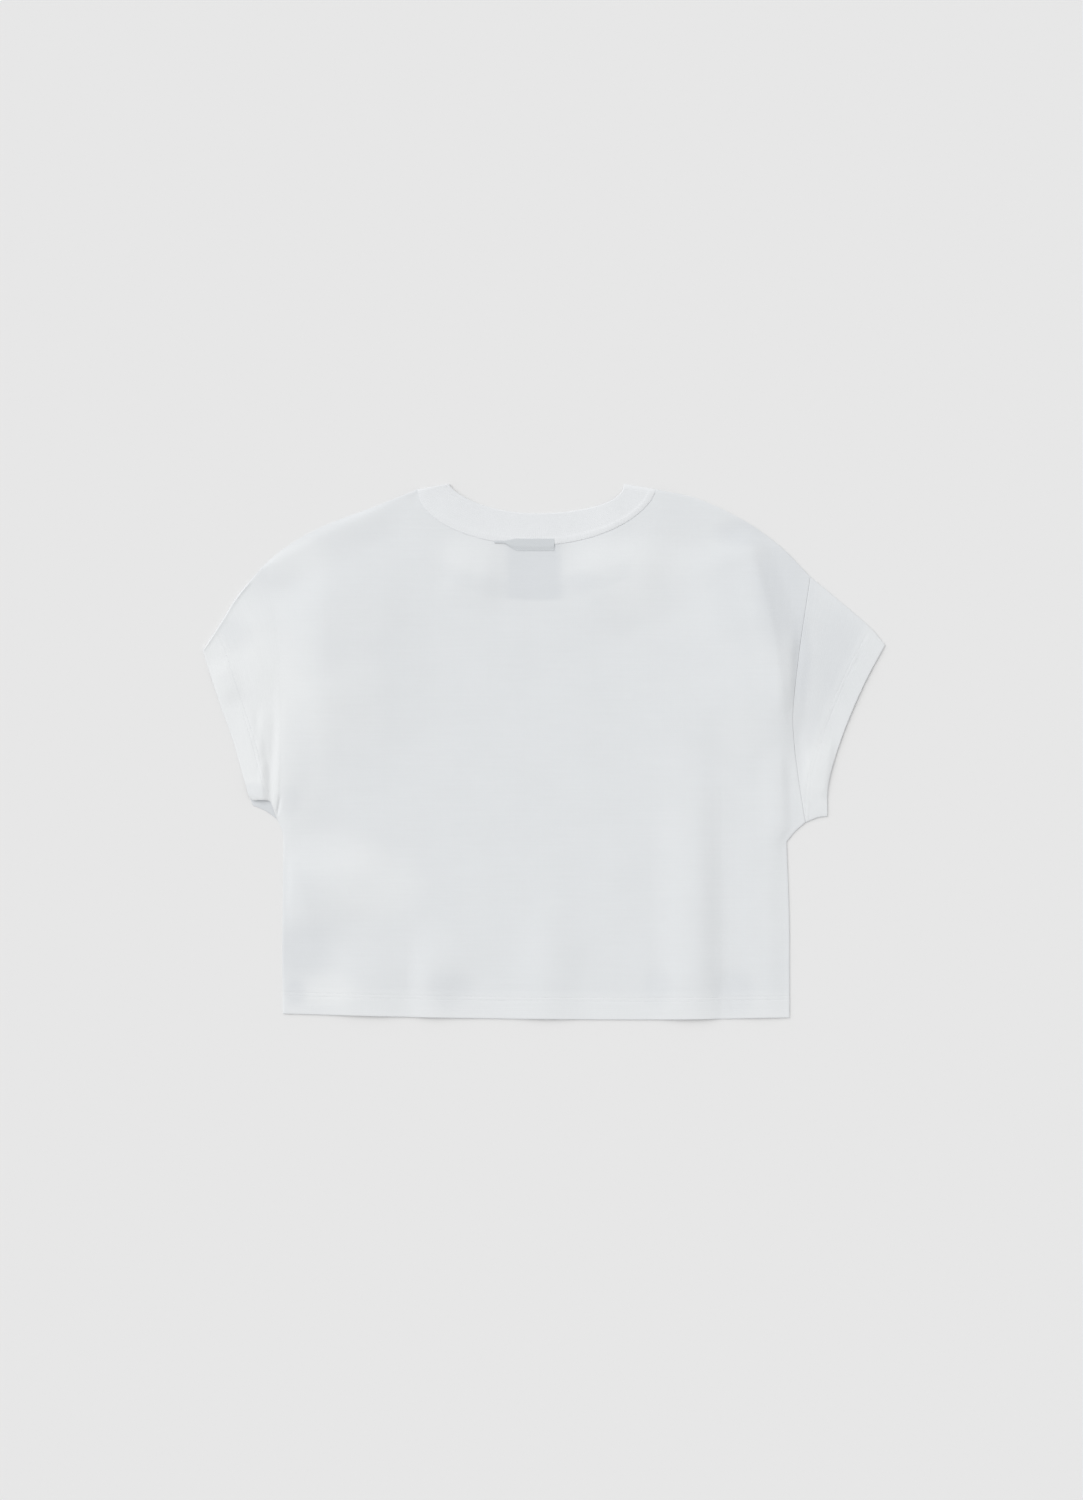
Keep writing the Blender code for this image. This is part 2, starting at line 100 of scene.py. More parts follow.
def add_node(tree, kind, inputs=(), **settings):
    """A new node with its settings. inputs maps an input's name or number to a value or to a socket."""
    made = tree.nodes.new(kind)
    for name, value in settings.items():
        setattr(made, name, value)
    for key, value in dict(inputs).items():
        if isinstance(value, bpy.types.NodeSocket):
            tree.links.new(value, made.inputs[key])
        else:
            made.inputs[key].default_value = value
    return made


def new_material(name):
    """An empty material and its node tree."""
    material = bpy.data.materials.new(name)
    material.use_nodes = True
    material.node_tree.nodes.clear()
    return material, material.node_tree


print("white is", linear("#FFFFFF"), "and mid grey", linear("#808080"))

# %% [markdown]
# ## The table and the light
#
# The table is a sheet of board with matt paint. Matt paint scatters all light, so the board has no
# highlight and reads as one even grey. Two things light it: a bright room all round, which softens every
# shade, and one wide lamp from the upper left, which models the folds and lays a thin shadow along the
# right and lower edges. The lamp stands high, because a shadow is only as long as the cloth is thick,
# while a fold's shade needs nothing but a slope. The room is as bright at the horizon as the board, so
# that no edge shows from a low view.

# %% Matt painted board
BOARD_RADIUS = 40.0  # metres, so that its far edge is lost at the horizon
BOARD_COLOUR = "#E7E7E7"

board_material, tree = new_material("matt_painted_board")
surface = add_node(tree, "ShaderNodeBsdfPrincipled", {
    "Base Color": linear(BOARD_COLOUR), "Roughness": 1.0, "Specular IOR Level": 0.0,
})
add_node(tree, "ShaderNodeOutputMaterial", {"Surface": surface.outputs[0]})

bpy.ops.mesh.primitive_circle_add(vertices=128, radius=BOARD_RADIUS, fill_type="TRIFAN")
board = bpy.context.object
board.name = "board"
board.data.materials.append(board_material)
print(f"board {2 * BOARD_RADIUS:.0f} m across")

# %% Room and lamp
ROOM_HORIZON = "#E7E7E7"
ROOM_OVERHEAD = "#C3C3C3"
HORIZON_BLEND = 0.35  # sine of the elevation at which the room has its overhead colour
LAMP_STRENGTH = 1.82
LAMP_WIDTH = 76.0  # degrees
LAMP_ELEVATION = 50.0
LAMP_DIRECTION = 135.0  # degrees from +X, so up and to the left

world = bpy.data.worlds.new("studio")
world.use_nodes = True
tree = world.node_tree
tree.nodes.clear()
direction = add_node(tree, "ShaderNodeTexCoord")
height = add_node(tree, "ShaderNodeSeparateXYZ", {0: direction.outputs["Generated"]})
climb = add_node(tree, "ShaderNodeMapRange", {"Value": height.outputs["Z"], "From Max": HORIZON_BLEND})
room = add_node(tree, "ShaderNodeMix", {
    "Factor": climb.outputs[0], 6: linear(ROOM_HORIZON), 7: linear(ROOM_OVERHEAD),
}, data_type="RGBA")
glow = add_node(tree, "ShaderNodeBackground", {0: room.outputs[2]})
add_node(tree, "ShaderNodeOutputWorld", {0: glow.outputs[0]})
bpy.context.scene.world = world

lamp_data = bpy.data.lights.new("lamp", "SUN")
lamp_data.energy = LAMP_STRENGTH
lamp_data.angle = np.radians(LAMP_WIDTH)
lamp = bpy.data.objects.new("lamp", lamp_data)
lamp.rotation_euler = (0, np.radians(90 - LAMP_ELEVATION), np.radians(LAMP_DIRECTION))
bpy.context.scene.collection.objects.link(lamp)
bpy.context.scene.view_settings.view_transform = "Standard"
print(f"lamp {LAMP_ELEVATION:.0f} degrees up and {LAMP_WIDTH:.0f} degrees wide")

# %% [markdown]
# ## The pattern
#
# A maker cuts flat pieces from a paper pattern. Its lines could be drawn by hand as curves, but as
# numbers they can be measured, shared and changed. So each line is a few given knots with a smooth
# curve through them, the same as in the solids. The two sides have lain down a little differently, so
# every knot has a left and a right place.
#
# The solids are thick so that they keep their gaps. The cloth here is nearer to the real one: 0.6 mm a
# layer, a little more where it is turned up, and 1.2 mm for the folded rib.

# %% Sizes of the cloth
JERSEY = 0.6
HEM_DOUBLE = 0.7
BAND_DOUBLE = 1.2
LAYER_GAP = 0.1
HEM_DEPTH = 18.0
HEM_STEP = 9.0  # over which the turned-up double thins to one layer
NECKBAND_WIDTH = 28.5
NECKBAND_RISE = 5.0  # how much higher its inner edge stands than its seam at the neck points
print(f"jersey {JERSEY} mm thick, {HEM_DOUBLE} mm at a hem and {BAND_DOUBLE} mm in the neckband")

# %% [markdown]
# ### Necklines
#
# A neckline hangs between the two neck points. Its powers say how pointed each half of the seam, and of
# the band's inner edge, is, where 1 gives a quarter of an ellipse.

# %% Necklines
NECK_HALF_WIDTH = 107.0
NECK_POINT_HEIGHT = 477.0
Neckline = namedtuple("Neckline", "drop seam_left seam_right edge_left edge_right")
BACK_NECK = Neckline(50.0, 1.0, 1.25, 1.4, 0.9)
FRONT_NECK = Neckline(130.0, 1.0, 1.0, 1.0, 1.0)
print(f"neck {2 * NECK_HALF_WIDTH:.0f} mm wide, {BACK_NECK.drop:.0f} and {FRONT_NECK.drop:.0f} mm deep")

# %% Corners of the pieces, left and right
Knot = namedtuple("Knot", "left_x left_y right_x right_y")
NECK_POINT = Knot(-NECK_HALF_WIDTH, NECK_POINT_HEIGHT, NECK_HALF_WIDTH, NECK_POINT_HEIGHT)
SHOULDER_POINT = Knot(-247.0, 407.0, 246.3, 398.4)
CUFF_TOP = Knot(-300.3, 332.0, 313.7, 337.0)
CUFF_BOTTOM = Knot(-258.0, 194.5, 261.7, 183.0)
ARMPIT = Knot(-233.7, 180.5, 241.8, 177.3)
SIDE_TOP = Knot(-227.7, 163.0, 225.0, 160.0)
HEM_CORNER = Knot(-228.2, 5.4, 227.7, 1.8)
print(f"hem {HEM_CORNER.right_x - HEM_CORNER.left_x:.1f} mm wide")
print(f"cuffs {CUFF_TOP.right_x - CUFF_TOP.left_x:.1f} mm apart")

# %% Knots of each line, from corner to corner
SHOULDER = (
    NECK_POINT,
    Knot(-147.0, 461.0, 144.0, 469.0),
    Knot(-194.0, 443.0, 185.0, 450.0),
    Knot(-227.0, 424.0, 219.0, 426.0),
    SHOULDER_POINT,
)
SLEEVE_TOP = (
    SHOULDER_POINT,
    Knot(-269.0, 381.0, 271.0, 378.0),
    Knot(-283.0, 358.5, 299.0, 354.0),
    CUFF_TOP,
)
CUFF = (
    CUFF_TOP,
    Knot(-287.0, 290.0, 294.0, 300.0),
    Knot(-274.0, 252.0, 275.0, 254.7),
    Knot(-264.0, 214.0, 263.0, 214.0),
    CUFF_BOTTOM,
)
UNDER_SLEEVE = (CUFF_BOTTOM, Knot(-247.0, 190.0, 253.0, 181.8), ARMPIT)
ARMHOLE = (
    SHOULDER_POINT,
    Knot(-237.6, 377.0, 243.0, 378.0),
    Knot(-231.8, 332.0, 236.0, 330.0),
    Knot(-230.5, 287.0, 230.6, 280.0),
    Knot(-230.0, 245.0, 231.6, 250.0),
    Knot(-230.4, 212.0, 236.0, 214.0),
    ARMPIT,
)
UNDERARM = (ARMPIT, Knot(-229.5, 172.0, 232.7, 169.3), SIDE_TOP)
SIDE = (
    SIDE_TOP,
    Knot(-228.2, 114.0, 227.3, 95.0),
    Knot(-228.6, 66.0, 227.6, 45.0),
    HEM_CORNER,
)
HEM = (HEM_CORNER[:2], (-142.0, 3.0), (-77.0, 1.6), (3.6, 0.5), (112.0, 0.0), HEM_CORNER[2:])
print(f"{len(ARMHOLE)} knots down each armhole, {len(HEM)} along the hem")

# %% Smooth lines through the knots
PER_KNOT = 24  # points from one knot to the next
PER_LINE = 120  # points of a whole line, evenly spaced


def along(line, shares):
    """The points of a line at these shares of its length."""
    steps = np.linalg.norm(np.diff(line, axis=0), axis=1)
    run = np.concatenate([[0], np.cumsum(steps)])
    at = np.asarray(shares) * run[-1]
    return np.stack([np.interp(at, run, line[:, k]) for k in range(line.shape[1])], axis=1)


def smooth(knots):
    """Evenly spaced points on a smooth curve through the knots."""
    knots = np.array(knots, float)
    ends = np.vstack([2 * knots[0] - knots[1], knots, 2 * knots[-1] - knots[-2]])
    dense = []
    for before, start, end, after in zip(ends, ends[1:], ends[2:], ends[3:]):
        t = np.linspace(0, 1, PER_KNOT, endpoint=False)[:, None]
        dense.append(
            0.5 * (2 * start + (end - before) * t + (2 * before - 5 * start + 4 * end - after) * t**2
                   + (3 * start - before - 3 * end + after) * t**3)
        )
    return along(np.vstack([*dense, knots[-1:]]), np.linspace(0, 1, PER_LINE))


def side_of(table, side):
    """One side's knots from a table, as a smooth line. side is -1 on the left and 1 on the right."""
    return smooth([(k.left_x, k.left_y) if side < 0 else (k.right_x, k.right_y) for k in table])


def length_of(line):
    return np.linalg.norm(np.diff(line, axis=0), axis=1).sum()


HEM_LINE = smooth(HEM)
CUFF_LINES = {side: side_of(CUFF, side) for side in (-1, 1)}
FOLDED_EDGES = [
    side_of(table, side)
    for table in (SHOULDER, SLEEVE_TOP, UNDER_SLEEVE, UNDERARM, SIDE)
    for side in (-1, 1)
]
print(f"hem {length_of(HEM_LINE):.0f} mm, cuffs", {s: round(length_of(c)) for s, c in CUFF_LINES.items()})

# %% [markdown]
# ## Where the layers lie
#
# Laid flat, the front rests on the board and the back rests on the front. The back climbs over the thick
# neckband of the front and sinks into the open neck inside it. Each height is a function of a place on
# the plan, so that a hem, a stitch or a label can ask how high the cloth under it is.

# %% Heights of the resting layers
BAND_SLOPE = (0.0, 34.0)  # outwards from the front's neck seam, where the back comes down off the band
HOLE_SLOPE = (0.0, 34.0)  # inwards from the band's inner edge, where the back sinks to the board


def step(value, start, end):
    """0 below start, 1 above end, and a smooth rise between."""
    t = np.clip((value - start) / (end - start), 0, 1)
    return t * t * (3 - 2 * t)


def nearest_on(points, line):
    """The share of a line at which each point is nearest, the way from there, and the line's direction."""
    starts, runs = line[:-1], np.diff(line, axis=0)
    away = points[:, None, :] - starts[None]
    t = np.clip((away * runs).sum(2) / (runs * runs).sum(1), 0, 1)
    offsets = away - t[..., None] * runs
    nearest = np.linalg.norm(offsets, axis=2).argmin(axis=1)
    pick = (np.arange(len(points)), nearest)
    return (nearest + t[pick]) / len(runs), offsets[pick], runs[nearest]


def distance(points, line):
    """How far each point is from a line."""
    return np.linalg.norm(nearest_on(points, line)[1], axis=1)


def from_hems(points):
    """How far each point is from the nearest hem or cuff."""
    return np.min([distance(points, line) for line in (HEM_LINE, *CUFF_LINES.values())], axis=0)


def turned_up(points):
    """1 where the cloth is turned up at a hem or cuff, and 0 elsewhere."""
    return 1 - step(from_hems(points), HEM_DEPTH, HEM_DEPTH + HEM_STEP)


def thickness(points):
    """One layer of jersey, or the turned-up double of a hem."""
    return JERSEY + (HEM_DOUBLE - JERSEY) * turned_up(points)


def neck_places(points):
    """How far each point is outside the front neck seam, and how far inside the front neckband."""
    across = points[:, 0]
    below = NECK_POINT_HEIGHT - points[:, 1]
    seam = np.hypot(across / NECK_HALF_WIDTH, below / FRONT_NECK.drop)
    inner_half = NECK_HALF_WIDTH - NECKBAND_WIDTH
    inner_drop = FRONT_NECK.drop - NECKBAND_WIDTH + NECKBAND_RISE
    inner = np.hypot(across / inner_half, (below + NECKBAND_RISE) / inner_drop)
    return (seam - 1) * NECK_HALF_WIDTH, (1 - inner) * inner_half


def upper_rest(points):
    """The underside of the upper layer where no fold lifts it."""
    outside_seam, inside_band = neck_places(points)
    on_panel = thickness(points) + LAYER_GAP
    on_band = BAND_DOUBLE + LAYER_GAP
    resting = on_panel + (on_band - on_panel) * (1 - step(outside_seam, *BAND_SLOPE))
    return resting + (LAYER_GAP - resting) * step(inside_band, *HOLE_SLOPE)


ON_FRONT, IN_NECK = (0.0, 200.0), (0.0, 390.0)
print("on the front and in the neck, the upper layer rests at",
      upper_rest(np.array([ON_FRONT, IN_NECK])).round(2), "mm")

# %% [markdown]
# ## Folds and creases
#
# Jersey is soft, so even a pressed garment never lies quite flat. A cloth simulation could make folds,
# but not these few faint ones in these places, so they are listed one by one. The large folds are those of
# the solids: each is a crest line with a height and two flanks. The creases are finer and belong to the
# cloth alone: the roll along a shoulder, the lip of an armhole seam, and dents, which have a height below
# zero.

# %% Folds
Fold = namedtuple("Fold", "name start middle end height left right fade_start fade_end")
FOLDS = (
    Fold("hem, far left", (-152, -12), (-151, 30), (-156, 96), 3.0, 46, 44, 0, 0.7),
    Fold("hem, left", (-92, -12), (-94, 30), (-90, 96), 3.0, 24, 46, 0, 0.7),
    Fold("hem, centre", (8, -12), (12, 50), (4, 130), 2.6, 38, 36, 0, 0.7),
    Fold("long, right of centre", (144, -12), (144, 120), (138, 320), 4.0, 44, 27, 0, 0.75),
    Fold("right side, low", (208, -12), (206, 100), (212, 250), 1.0, 34, 20, 0, 0.4),
    Fold("right side, high", (220, 205), (213, 336), (182, 444), 3.6, 84, 26, 0.35, 0.12),
    Fold("right shoulder", (214, 232), (214, 320), (198, 416), 3.2, 160, 95, 0.4, 0.35),
    Fold("right underarm", (223, 150), (220.5, 206), (218, 250), 1.2, 24, 8, 0.25, 0.3),
    Fold("left shoulder", (-176, 215), (-186, 330), (-182, 436), 5.0, 50, 100, 0.4, 0.3),
    Fold("left side, low", (-236, 112), (-190, 122), (-122, 136), 3.4, 48, 66, 0.25, 0.6),
    Fold("right sleeve", (308, 342), (290, 290), (268, 214), 1.0, 20, 14, 0.3, 0.15),
    Fold("left sleeve", (-262, 290), (-252.5, 245), (-249.5, 194), 2.4, 27, 9.5, 0.45, 0.04),
    Fold("left cuff corner", (-255, 222), (-251, 206), (-247, 188), 2.6, 16, 8, 0.7, 0.04),
    Fold("left armhole ridge", (-230, 330), (-229.5, 250), (-236, 150), 2.2, 9, 60, 0.6, 0.4),
)
print(len(FOLDS), "folds, up to", max(fold.height for fold in FOLDS), "mm high")

# %% Creases
CREASES = (
    Fold("left shoulder roll", (-120, 464), (-186, 438), (-248, 402), 1.3, 8, 30, 0.25, 0.12),
    Fold("left neck point dent", (-112, 474), (-110, 468), (-106, 460), -0.35, 7, 7, 0.2, 0.4),
    Fold("left of the neck", (-90, 404), (-56, 396), (-24, 392), 1.8, 38, 52, 0.4, 0.4),
    Fold("right of the neck", (16, 392), (70, 398), (132, 414), 2.4, 40, 60, 0.4, 0.4),
    Fold("left sleeve head", (-246, 392), (-233, 330), (-231, 262), 2.6, 64, 80, 0.3, 0.5),
    Fold("left sleeve hem swell", (-288, 326), (-280, 302), (-272, 282), 1.6, 16, 20, 0.4, 0.4),
    Fold("left seam dent", (-229.5, 206), (-230.6, 198), (-233, 184), -0.8, 2.6, 2.2, 0.6, 0.1),
    Fold("left sleeve valley, high", (-246, 285), (-246, 258), (-245.5, 224), 1.25, 7, 16, 0.35, 0.45),
    Fold("left sleeve valley, low", (-246, 238), (-245, 218), (-243.5, 194), 1.3, 6, 6, 0.3, 0.05),
    Fold("armhole lip", (230, 358), (225.5, 316), (223, 270), 0.8, 16, 9, 0.3, 0.3),
    Fold("right seam dent", (239, 352), (234, 316), (231.4, 268), -0.6, 6, 6, 0.3, 0.3),
    Fold("right drag line", (223, 240), (212, 345), (190, 430), 0.9, 24, 9, 0.3, 0.15),
    Fold("right shoulder dent", (170, 452), (187, 441), (202, 428), -0.35, 5, 7, 0.3, 0.3),
    Fold("right sleeve corner", (266, 262), (261, 228), (256, 196), 1.2, 24, 7, 0.4, 0.2),
    Fold("right sleeve, by the seam", (243, 270), (246, 238), (249, 205), 0.95, 11, 24, 0.3, 0.35),
    Fold("hem dip, right", (171, -12), (170, 14), (168, 56), -0.6, 15, 13, 0, 0.5),
    Fold("hem dip, left", (-78, -12), (-76, 12), (-74, 40), -0.5, 12, 16, 0, 0.5),
)
print(len(CREASES), "creases, up to", max(crease.height for crease in CREASES), "mm high")

# %% How high a fold is at a place
PER_CREST = 40  # points of a crest line


def fold_height(points, fold):
    """How far one fold lifts each point."""
    crest = along(smooth((fold.start, fold.middle, fold.end)), np.linspace(0, 1, PER_CREST))
    share, offset, direction = nearest_on(points, crest)
    is_left = direction[:, 0] * offset[:, 1] - direction[:, 1] * offset[:, 0] > 0
    if fold.end[1] < fold.start[1]:
        is_left = ~is_left
    reach = np.where(is_left, fold.left, fold.right)
    height = fold.height * np.cos(np.pi / 2 * np.clip(np.linalg.norm(offset, axis=1) / reach, 0, 1)) ** 2
    for from_end, fade in ((share, fold.fade_start), (1 - share, fold.fade_end)):
        if fade:
            height *= step(from_end, 0, fade)
    return height


first = FOLDS[0]
print(f"{first.name}: {fold_height(np.array([first.middle]), first)[0]:.2f} mm high at its middle")

# %% [markdown]
# ### Small waves, stitches and a roll
#
# Under all the folds lies a very faint unevenness, made of a few long waves. Sewing leaves a hem with
# small puckers, and its two rows of stitches pull the cloth in. The top fold of the left sleeve has
# rolled up a little. All this could be a bump in the material, but as real shapes it also shows along an
# edge.

# %% Unevenness and puckers
WAVES = 7
UNEVEN = 0.16
UNEVEN_WAVES = (22.0, 80.0)  # the shortest and the longest
PUCKER = 0.12
PUCKER_WAVES = (5.0, 10.0)
PUCKER_REACH = 5.0
SEED_UNEVEN, SEED_PUCKER = 11, 12
STITCH_ROWS = (16.5, 19.5)  # from the edge of a hem or cuff


def swell(points, wave_lengths, seed):
    """Soft unevenness between -1 and 1: a few waves of different lengths and directions, added up."""
    random = np.random.default_rng(seed)
    total = np.zeros(len(points))
    for _ in range(WAVES):
        length = random.uniform(*wave_lengths)
        turn, start = random.uniform(0, 2 * np.pi, 2)
        total += np.sin(2 * np.pi * (points @ [np.cos(turn), np.sin(turn)]) / length + start)
    return total / WAVES


def puckers(points):
    """The small waves that sewing leaves along a hem."""
    from_rows = from_hems(points) - np.mean(STITCH_ROWS)
    return PUCKER * swell(points, PUCKER_WAVES, SEED_PUCKER) * np.exp(-((from_rows / PUCKER_REACH) ** 2))


print(f"unevenness on the front: {UNEVEN * swell(np.array([ON_FRONT]), UNEVEN_WAVES, SEED_UNEVEN)[0]:.3f} mm")

# %% Stitch dents and the rolled fold
STITCH_DENT = 0.14
STITCH_DENT_REACH = 0.9
LEFT_TOP_FOLD = side_of(SLEEVE_TOP, -1)[24:-3]  # of its 120 points, those where it has rolled up
ROLL_HEIGHT = 0.75
ROLL_PLACE = 0.7  # from the fold
ROLL_REACH = 1.9


def stitch_dents(points):
    """How far the two rows of hem stitches pull the cloth in."""
    away = from_hems(points)
    nearest = np.min([abs(away - row) for row in STITCH_ROWS], axis=0)
    return STITCH_DENT * np.cos(np.pi / 2 * np.clip(nearest / STITCH_DENT_REACH, 0, 1)) ** 2


def fold_roll(points):
    """How far the left sleeve's top fold has rolled up, steepest on its inner side."""
    away = distance(points, LEFT_TOP_FOLD) - ROLL_PLACE
    reach = np.where(away < 0, ROLL_PLACE, ROLL_REACH)
    return ROLL_HEIGHT * np.cos(np.pi / 2 * np.clip(abs(away) / reach, 0, 1)) ** 2


print(f"the rolled part of the fold is {length_of(LEFT_TOP_FOLD):.0f} mm long")

# %% [markdown]
# ### The whole upper layer
#
# A folded edge is pressed flat, so the folds fade out towards it, and at a hem they keep only a part of
# their height. Every piece that lies on top, and each thread and label on it, asks this one layer for its
# height.

# %% The upper layer
LIFT_FADE = 9.0  # from a folded edge to where a fold has its whole height
CREASE_FADE = 2.5
HEM_LIFT = 0.5  # the share of a fold's height that is left at the very edge of a hem
HEM_LIFT_REACH = 45.0
THINNED = 0.35  # how far a dent may press into the upper side of the cloth


def lift(points):
    """How far the folds, the creases and the unevenness lift each point of the upper layer."""
    from_fold = np.min([distance(points, line) for line in FOLDED_EDGES], axis=0)
    at_hem = HEM_LIFT + (1 - HEM_LIFT) * step(from_hems(points), 0, HEM_LIFT_REACH)
    large = sum(fold_height(points, fold) for fold in FOLDS) * step(from_fold, 0, LIFT_FADE) * at_hem
    fine = sum(fold_height(points, crease) for crease in CREASES)
    fine += UNEVEN * swell(points, UNEVEN_WAVES, SEED_UNEVEN) + puckers(points)
    return large + fine * step(from_fold, 0, CREASE_FADE)


def upper_layer(points):
    """The underside and the upper side of the upper layer, before its edges are rounded."""
    rest, lifted = upper_rest(points) + fold_roll(points), lift(points)
    low = rest + np.maximum(lifted, 0)
    high = rest + thickness(points) + np.maximum(lifted, -THINNED)
    return low, high - stitch_dents(points)


low, high = upper_layer(np.array([ON_FRONT]))
print(f"on the front the upper layer lies from {low[0]:.2f} to {high[0]:.2f} mm")

# %% [markdown]
# ## From two skins to a piece of cloth
#
# A Solidify modifier could thicken one skin evenly, but here the two sides of a layer have heights of
# their own. So each piece is a grid of points for its outer side and one for its inner side. Joined along
# their borders they make a closed wall, which can be printed or measured. The grid also carries two
# things for the shader: a UV map in real metres, called knit, which keeps the loops upright in each
# piece, and a number at each point, called backing_and_shade, which says how much other cloth lies under
# it, with painted light and shade added in places.

# %% A piece from points and faces
OFFSET = np.array([
    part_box("sleeve_left")[0].x / MM - CUFF_TOP.left_x,
    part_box("neckband")[1].y / MM - NECK_POINT_HEIGHT - NECKBAND_RISE,
    0.0,
])  # from a place in the pattern to the same place on the solids


def new_piece(name, points, faces, material):
    """A piece of one material, from faces and from points in the pattern's millimetres."""
    mesh = bpy.data.meshes.new(name)
    mesh.from_pydata(((points + OFFSET) * MM).tolist(), [], faces)
    mesh.materials.append(material)
    piece = bpy.data.objects.new(name, mesh)
    bpy.context.scene.collection.objects.link(piece)
    return piece


print("the pattern moves by", OFFSET.round(2), "mm to lie on the solids")

# %% A closed wall between two skins
SHARP_RIM = 50.0  # degrees: the skins meet their closing wall at a crisp rim


def wall_faces(rows, columns, knit, is_tube):
    """The faces of a wall between two grids, and the place on the cloth of each of their corners."""
    count = rows * columns
    row, column = (k.ravel() for k in np.mgrid[: rows - 1, : columns if is_tube else columns - 1])
    corners = np.stack([(row, column), (row, column + 1), (row + 1, column + 1), (row + 1, column)])
    outer = (corners[:, 0] * columns + corners[:, 1] % columns).T
    inner = outer[:, ::-1] + count
    outer_knit = knit[corners[:, 0], corners[:, 1]].transpose(1, 0, 2)
    edges = [(k * columns + np.arange(columns + is_tube) % columns, knit[k, : columns + is_tube])
             for k in (0, rows - 1)]
    if not is_tube:
        edges += [(np.arange(rows) * columns + k, knit[:, k]) for k in (0, columns - 1)]
    faces, maps = [outer, inner], [outer_knit, outer_knit[:, ::-1]]
    for edge, edge_knit in edges:
        here, after = edge[:-1], edge[1:]
        faces.append(np.stack([here, after, after + count, here + count], axis=1))
        maps.append(np.stack([edge_knit[:-1], edge_knit[1:], edge_knit[1:], edge_knit[:-1]], axis=1))
    return np.concatenate(faces), np.concatenate(maps)


def shell(name, skin, lining, knit, backing_and_shade, material, is_tube=False):
    """A closed wall between two grids of points. The columns of a tube close on themselves."""
    rows, columns = skin.shape[:2]
    faces, maps = wall_faces(rows, columns, knit, is_tube)
    points = np.concatenate([skin.reshape(-1, 3), lining.reshape(-1, 3)])
    piece = new_piece(name, points, faces.tolist(), material)
    mesh = piece.data
    mesh.uv_layers.new(name="knit").uv.foreach_set("vector", (maps * MM).ravel())
    mesh.attributes.new("backing_and_shade", "FLOAT", "POINT").data.foreach_set("value", np.tile(backing_and_shade.ravel(), 2))
    made = bmesh.new()
    made.from_mesh(mesh)
    bmesh.ops.recalc_face_normals(made, faces=made.faces[:])
    made.to_mesh(mesh)
    made.free()
    mesh.shade_smooth()
    mesh.set_sharp_from_angle(angle=np.radians(SHARP_RIM))
    print(f"{name}: {rows} x {columns} points, {2 * len(mesh.polygons)} triangles")
    return piece


# %% [markdown]
# ## Cotton jersey
#
# The cloth is white single jersey of about 180 g per square metre, knitted from cotton yarn and bleached.
# Its face is rows of small V-shaped loops, about 0.7 mm wide and 0.55 mm high. They are drawn three times
# as large here, because smaller ones would vanish between the pixels. Yarn is never even, so the rows
# also vary a little in thickness, which gives faint streaks across the body. Bleached cotton is matt,
# with a soft sheen from its fuzz. Thin white cloth lets what lies under it show: it is a shade greyer
# over the bare board, and brightest over more cloth. The number that picks between these two colours
# also carries painted light and shade: lighter where the lamp falls on a fold, darker where it is in shade.
#
# It could be a picture of knit, but loops worked out from their real size stay sharp at any distance.
# What all the cloths share comes first: the place on the cloth, the soft blotches of uneven yarn, and the
# finish.

# %% What the cloths share
# Cotton yarn is dull: half the usual glint, and a soft sheen that its loose fibres spread wide.
COTTON = {"IOR": 1.54, "Specular IOR Level": 0.25, "Sheen Roughness": 0.5}
NOISE_RANGE = (0.3, 0.7)  # nearly all values of a noise lie between these


def new_cloth(name):
    """An empty material, its node tree, and the place on the cloth as one vector and as X, Y and Z."""
    material, tree = new_material(name)
    cloth_map = add_node(tree, "ShaderNodeUVMap", uv_map="knit").outputs[0]
    return material, tree, cloth_map, add_node(tree, "ShaderNodeSeparateXYZ", {0: cloth_map}).outputs


def mottled(tree, place, scale, detail, darkest):
    """A factor for a colour, which wanders over the cloth between darkest and 1."""
    noise = add_node(tree, "ShaderNodeTexNoise", {0: place, "Scale": scale, "Detail": detail})
    return add_node(tree, "ShaderNodeMapRange", {
        "Value": noise.outputs[0], "From Min": NOISE_RANGE[0], "From Max": NOISE_RANGE[1], "To Min": darkest,
    }).outputs[0]


def finish_cloth(tree, colour, shade, relief, depth, strength, inputs):
    """The rest of a cloth: its colour times its shade, its relief, and the inputs of its surface."""
    yarn = add_node(tree, "ShaderNodeVectorMath", {0: colour, "Scale": shade}, operation="SCALE")
    bump = add_node(tree, "ShaderNodeBump", {"Strength": strength, "Distance": depth * MM, "Height": relief})
    surface = add_node(tree, "ShaderNodeBsdfPrincipled", {
        "Base Color": yarn.outputs[0], "Normal": bump.outputs[0], **inputs,
    })
    add_node(tree, "ShaderNodeOutputMaterial", {"Surface": surface.outputs[0]})


print("index of refraction of cotton:", COTTON["IOR"])

# %% Knitted loops
LOOP_WIDTH = 0.7
LOOP_HEIGHT = 0.55
DRAWN_LARGER = 3.0
LOOP_DEPTH = 0.12


